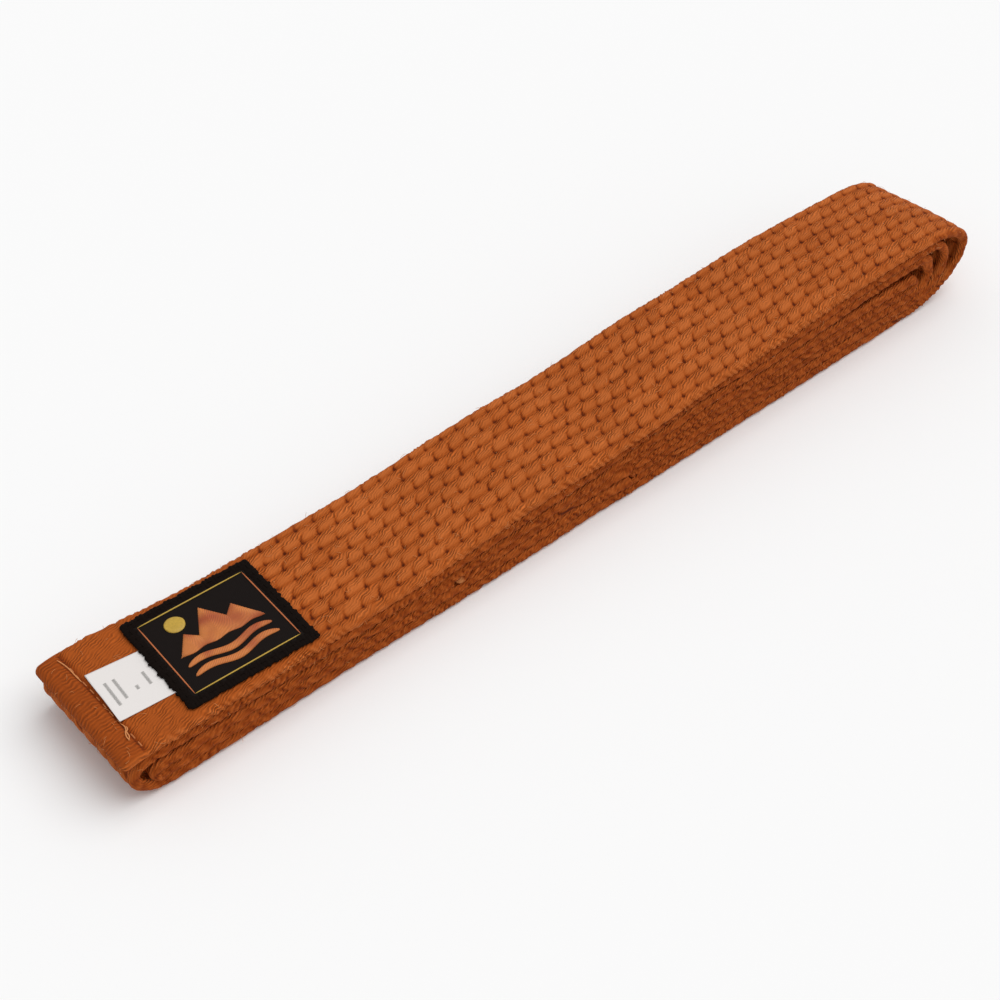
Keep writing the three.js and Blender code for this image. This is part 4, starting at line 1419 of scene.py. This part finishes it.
class BELT_OT_motif(bpy.types.Operator):
    """Make the satin-stitched motif: two peaks, a sun and two waves"""

    bl_idname = "belt.motif"
    bl_label = "Motif"

    def execute(self, context):
        satin = bpy.data.materials["satin_rayon"]
        corners = np.array(PEAKS)
        x = np.linspace(corners[0, 0], corners[-1, 0], 260)
        ragged = 0.10 * np.sin(math.pi * x / 0.42 * 2)
        high = np.interp(x, corners[:, 0], corners[:, 1]) + PEAKS_BASE + ragged
        low = np.full_like(x, PEAKS_BASE) - ragged + 0.25 * np.sin(x * 0.9)
        made = [(satin_patch("motif_peaks_satin", x, low, np.maximum(high, low + 0.1), 26),
                 "motif_peaks", satin)]
        turn = np.linspace(math.pi, 0, 60)
        x, half = SUN[0] + SUN[2] * np.cos(turn), SUN[2] * np.sin(turn)
        made.append((satin_patch("motif_sun_satin", x, SUN[1] - half, SUN[1] + half, 20),
                     "motif_sun", bpy.data.materials["gold_filament"]))
        for i, centre in enumerate(WAVES):
            share = np.linspace(0, 1, 240)
            x = (share - 0.5) * WAVE_LENGTH
            swell = centre + WAVE_SWELL * np.sin(3 * math.pi * share)
            half = WAVE_WIDTH / 2 * (1 - np.abs(2 * share - 1) ** 5) ** 0.5
            half = half + 0.06 * np.sin(2 * math.pi * x / 0.42)
            made.append((satin_patch(f"motif_wave_satin_{i + 1}", x, swell - half, swell + half, 14),
                         f"motif_wave_{i + 1}", satin))
        for piece, stands_for, material in made:
            give(piece, material)
            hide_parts(stands_for)
            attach(piece, TAGGED)
        return {"FINISHED"}


# ---- Stage ----

FLOOR_REACH = 30.0  # metres
KEY_PLACE = (0.40, -0.20, 0.9)  # the key light shines from here towards the origin

class BELT_OT_stage(bpy.types.Operator):
    """Make the floor, the light and the camera"""

    bl_idname = "belt.stage"
    bl_label = "Stage"

    def execute(self, context):
        settings = stage_settings()
        scene = context.scene
        scene.view_settings.view_transform = "Standard"
        mesh = bpy.data.meshes.new("floor")
        corners = [(x * FLOOR_REACH, y * FLOOR_REACH, 0)
                   for x, y in ((-1, -1), (1, -1), (1, 1), (-1, 1))]
        mesh.from_pydata(corners, [], [(0, 1, 2, 3)])
        floor = bpy.data.objects.new("floor", mesh)
        scene.collection.objects.link(floor)
        material, tree, shader = new_material("matt_paper_floor")
        shader.inputs["Base Color"].default_value = colour(settings.floor)
        shader.inputs["Roughness"].default_value = 1.0
        shader.inputs["Specular IOR Level"].default_value = 0.0
        mesh.materials.append(material)

        world = bpy.data.worlds.new("studio")
        scene.world = world
        world.use_nodes = True
        background = world.node_tree.nodes["Background"]
        background.inputs["Color"].default_value = (1, 1, 1, 1)
        background.inputs["Strength"].default_value = settings.sky

        sun = bpy.data.lights.new("soft_key", "SUN")
        sun.energy = settings.key
        sun.angle = settings.key_spread
        lamp = bpy.data.objects.new("soft_key", sun)
        lamp.location = KEY_PLACE
        lamp.rotation_mode = "QUATERNION"
        lamp.rotation_quaternion = (-lamp.location).to_track_quat("-Z", "Y")
        scene.collection.objects.link(lamp)

        data = bpy.data.cameras.new("camera")
        data.lens = settings.lens
        data.sensor_width = 36
        data.clip_start, data.clip_end = 0.01, 100
        camera = bpy.data.objects.new("camera", data)
        azimuth, elevation = settings.azimuth, settings.elevation
        back = Vector((math.sin(azimuth) * math.cos(elevation),
                       -math.cos(azimuth) * math.cos(elevation), math.sin(elevation)))
        camera.location = Vector(settings.target) + back * settings.distance
        camera.rotation_mode = "QUATERNION"
        camera.rotation_quaternion = (-back).to_track_quat("-Z", "Y")
        scene.collection.objects.link(camera)
        scene.camera = camera
        return {"FINISHED"}


class BELT_OT_materials(bpy.types.Operator):
    """Make the materials that the pieces share"""

    bl_idname = "belt.materials"
    bl_label = "Materials"

    def execute(self, context):
        belt, badge = belt_settings(), badge_settings()
        twill_cover()
        thread_material("quilting_cotton", belt.thread, 3200, gloss=0.1, rough=0.8)
        thread_material("hem_cotton", belt.hem_thread, 3200)
        thread_material("loose_cotton", belt.loose_thread, 3200)
        thread_material("overlock_filament", badge.edge, 2600, gloss=0.06, rough=0.85, variation=0.25)
        thread_material("gold_filament", badge.gold, 3000, rough=0.42, variation=0.2)
        thread_material("copper_filament", badge.copper, 3000, rough=0.45, variation=0.2)
        thread_material("bar_filament", badge.print_grey, 3000, rough=0.7)
        badge_cloth()
        satin_thread()
        woven_tape()
        return {"FINISHED"}


class BELT_PT_panel(bpy.types.Panel):
    """Lists the belt's pieces and their settings"""

    bl_label = "Belt"
    bl_idname = "BELT_PT_panel"
    bl_space_type = "VIEW_3D"
    bl_region_type = "UI"
    bl_category = "Belt"

    def draw(self, context):
        for group in (context.scene.belt_strip, context.scene.belt_badge,
                      context.scene.belt_stage):
            for name in group.bl_rna.properties.keys():
                if name not in ("rna_type", "name"):
                    self.layout.prop(group, name)
        for operator in OPERATORS:
            self.layout.operator(operator.bl_idname)


OPERATORS = (
    BELT_OT_stage, BELT_OT_materials, BELT_OT_tagged_length, BELT_OT_rolled_length,
    BELT_OT_quilting_stitches, BELT_OT_rolled_stitches, BELT_OT_fuzz, BELT_OT_hem_thread,
    BELT_OT_size_tag, BELT_OT_badge, BELT_OT_frame_line, BELT_OT_motif)
CLASSES = (BeltSettings, BadgeSettings, StageSettings, *OPERATORS, BELT_PT_panel)


def register():
    for cls in CLASSES:
        bpy.utils.register_class(cls)
    bpy.types.Scene.belt_strip = bpy.props.PointerProperty(type=BeltSettings)
    bpy.types.Scene.belt_badge = bpy.props.PointerProperty(type=BadgeSettings)
    bpy.types.Scene.belt_stage = bpy.props.PointerProperty(type=StageSettings)


def unregister():
    for name in ("belt_strip", "belt_badge", "belt_stage"):
        delattr(bpy.types.Scene, name)
    for cls in reversed(CLASSES):
        bpy.utils.unregister_class(cls)


def main():
    register()
    bpy.ops.belt.stage()
    bpy.ops.belt.materials()
    bpy.ops.belt.tagged_length()
    bpy.ops.belt.rolled_length()
    bpy.ops.belt.quilting_stitches()
    bpy.ops.belt.rolled_stitches()
    bpy.ops.belt.fuzz()
    bpy.ops.belt.hem_thread()
    bpy.ops.belt.size_tag()
    bpy.ops.belt.badge()
    bpy.ops.belt.frame_line()
    bpy.ops.belt.motif()


if __name__ == "__main__":
    main()
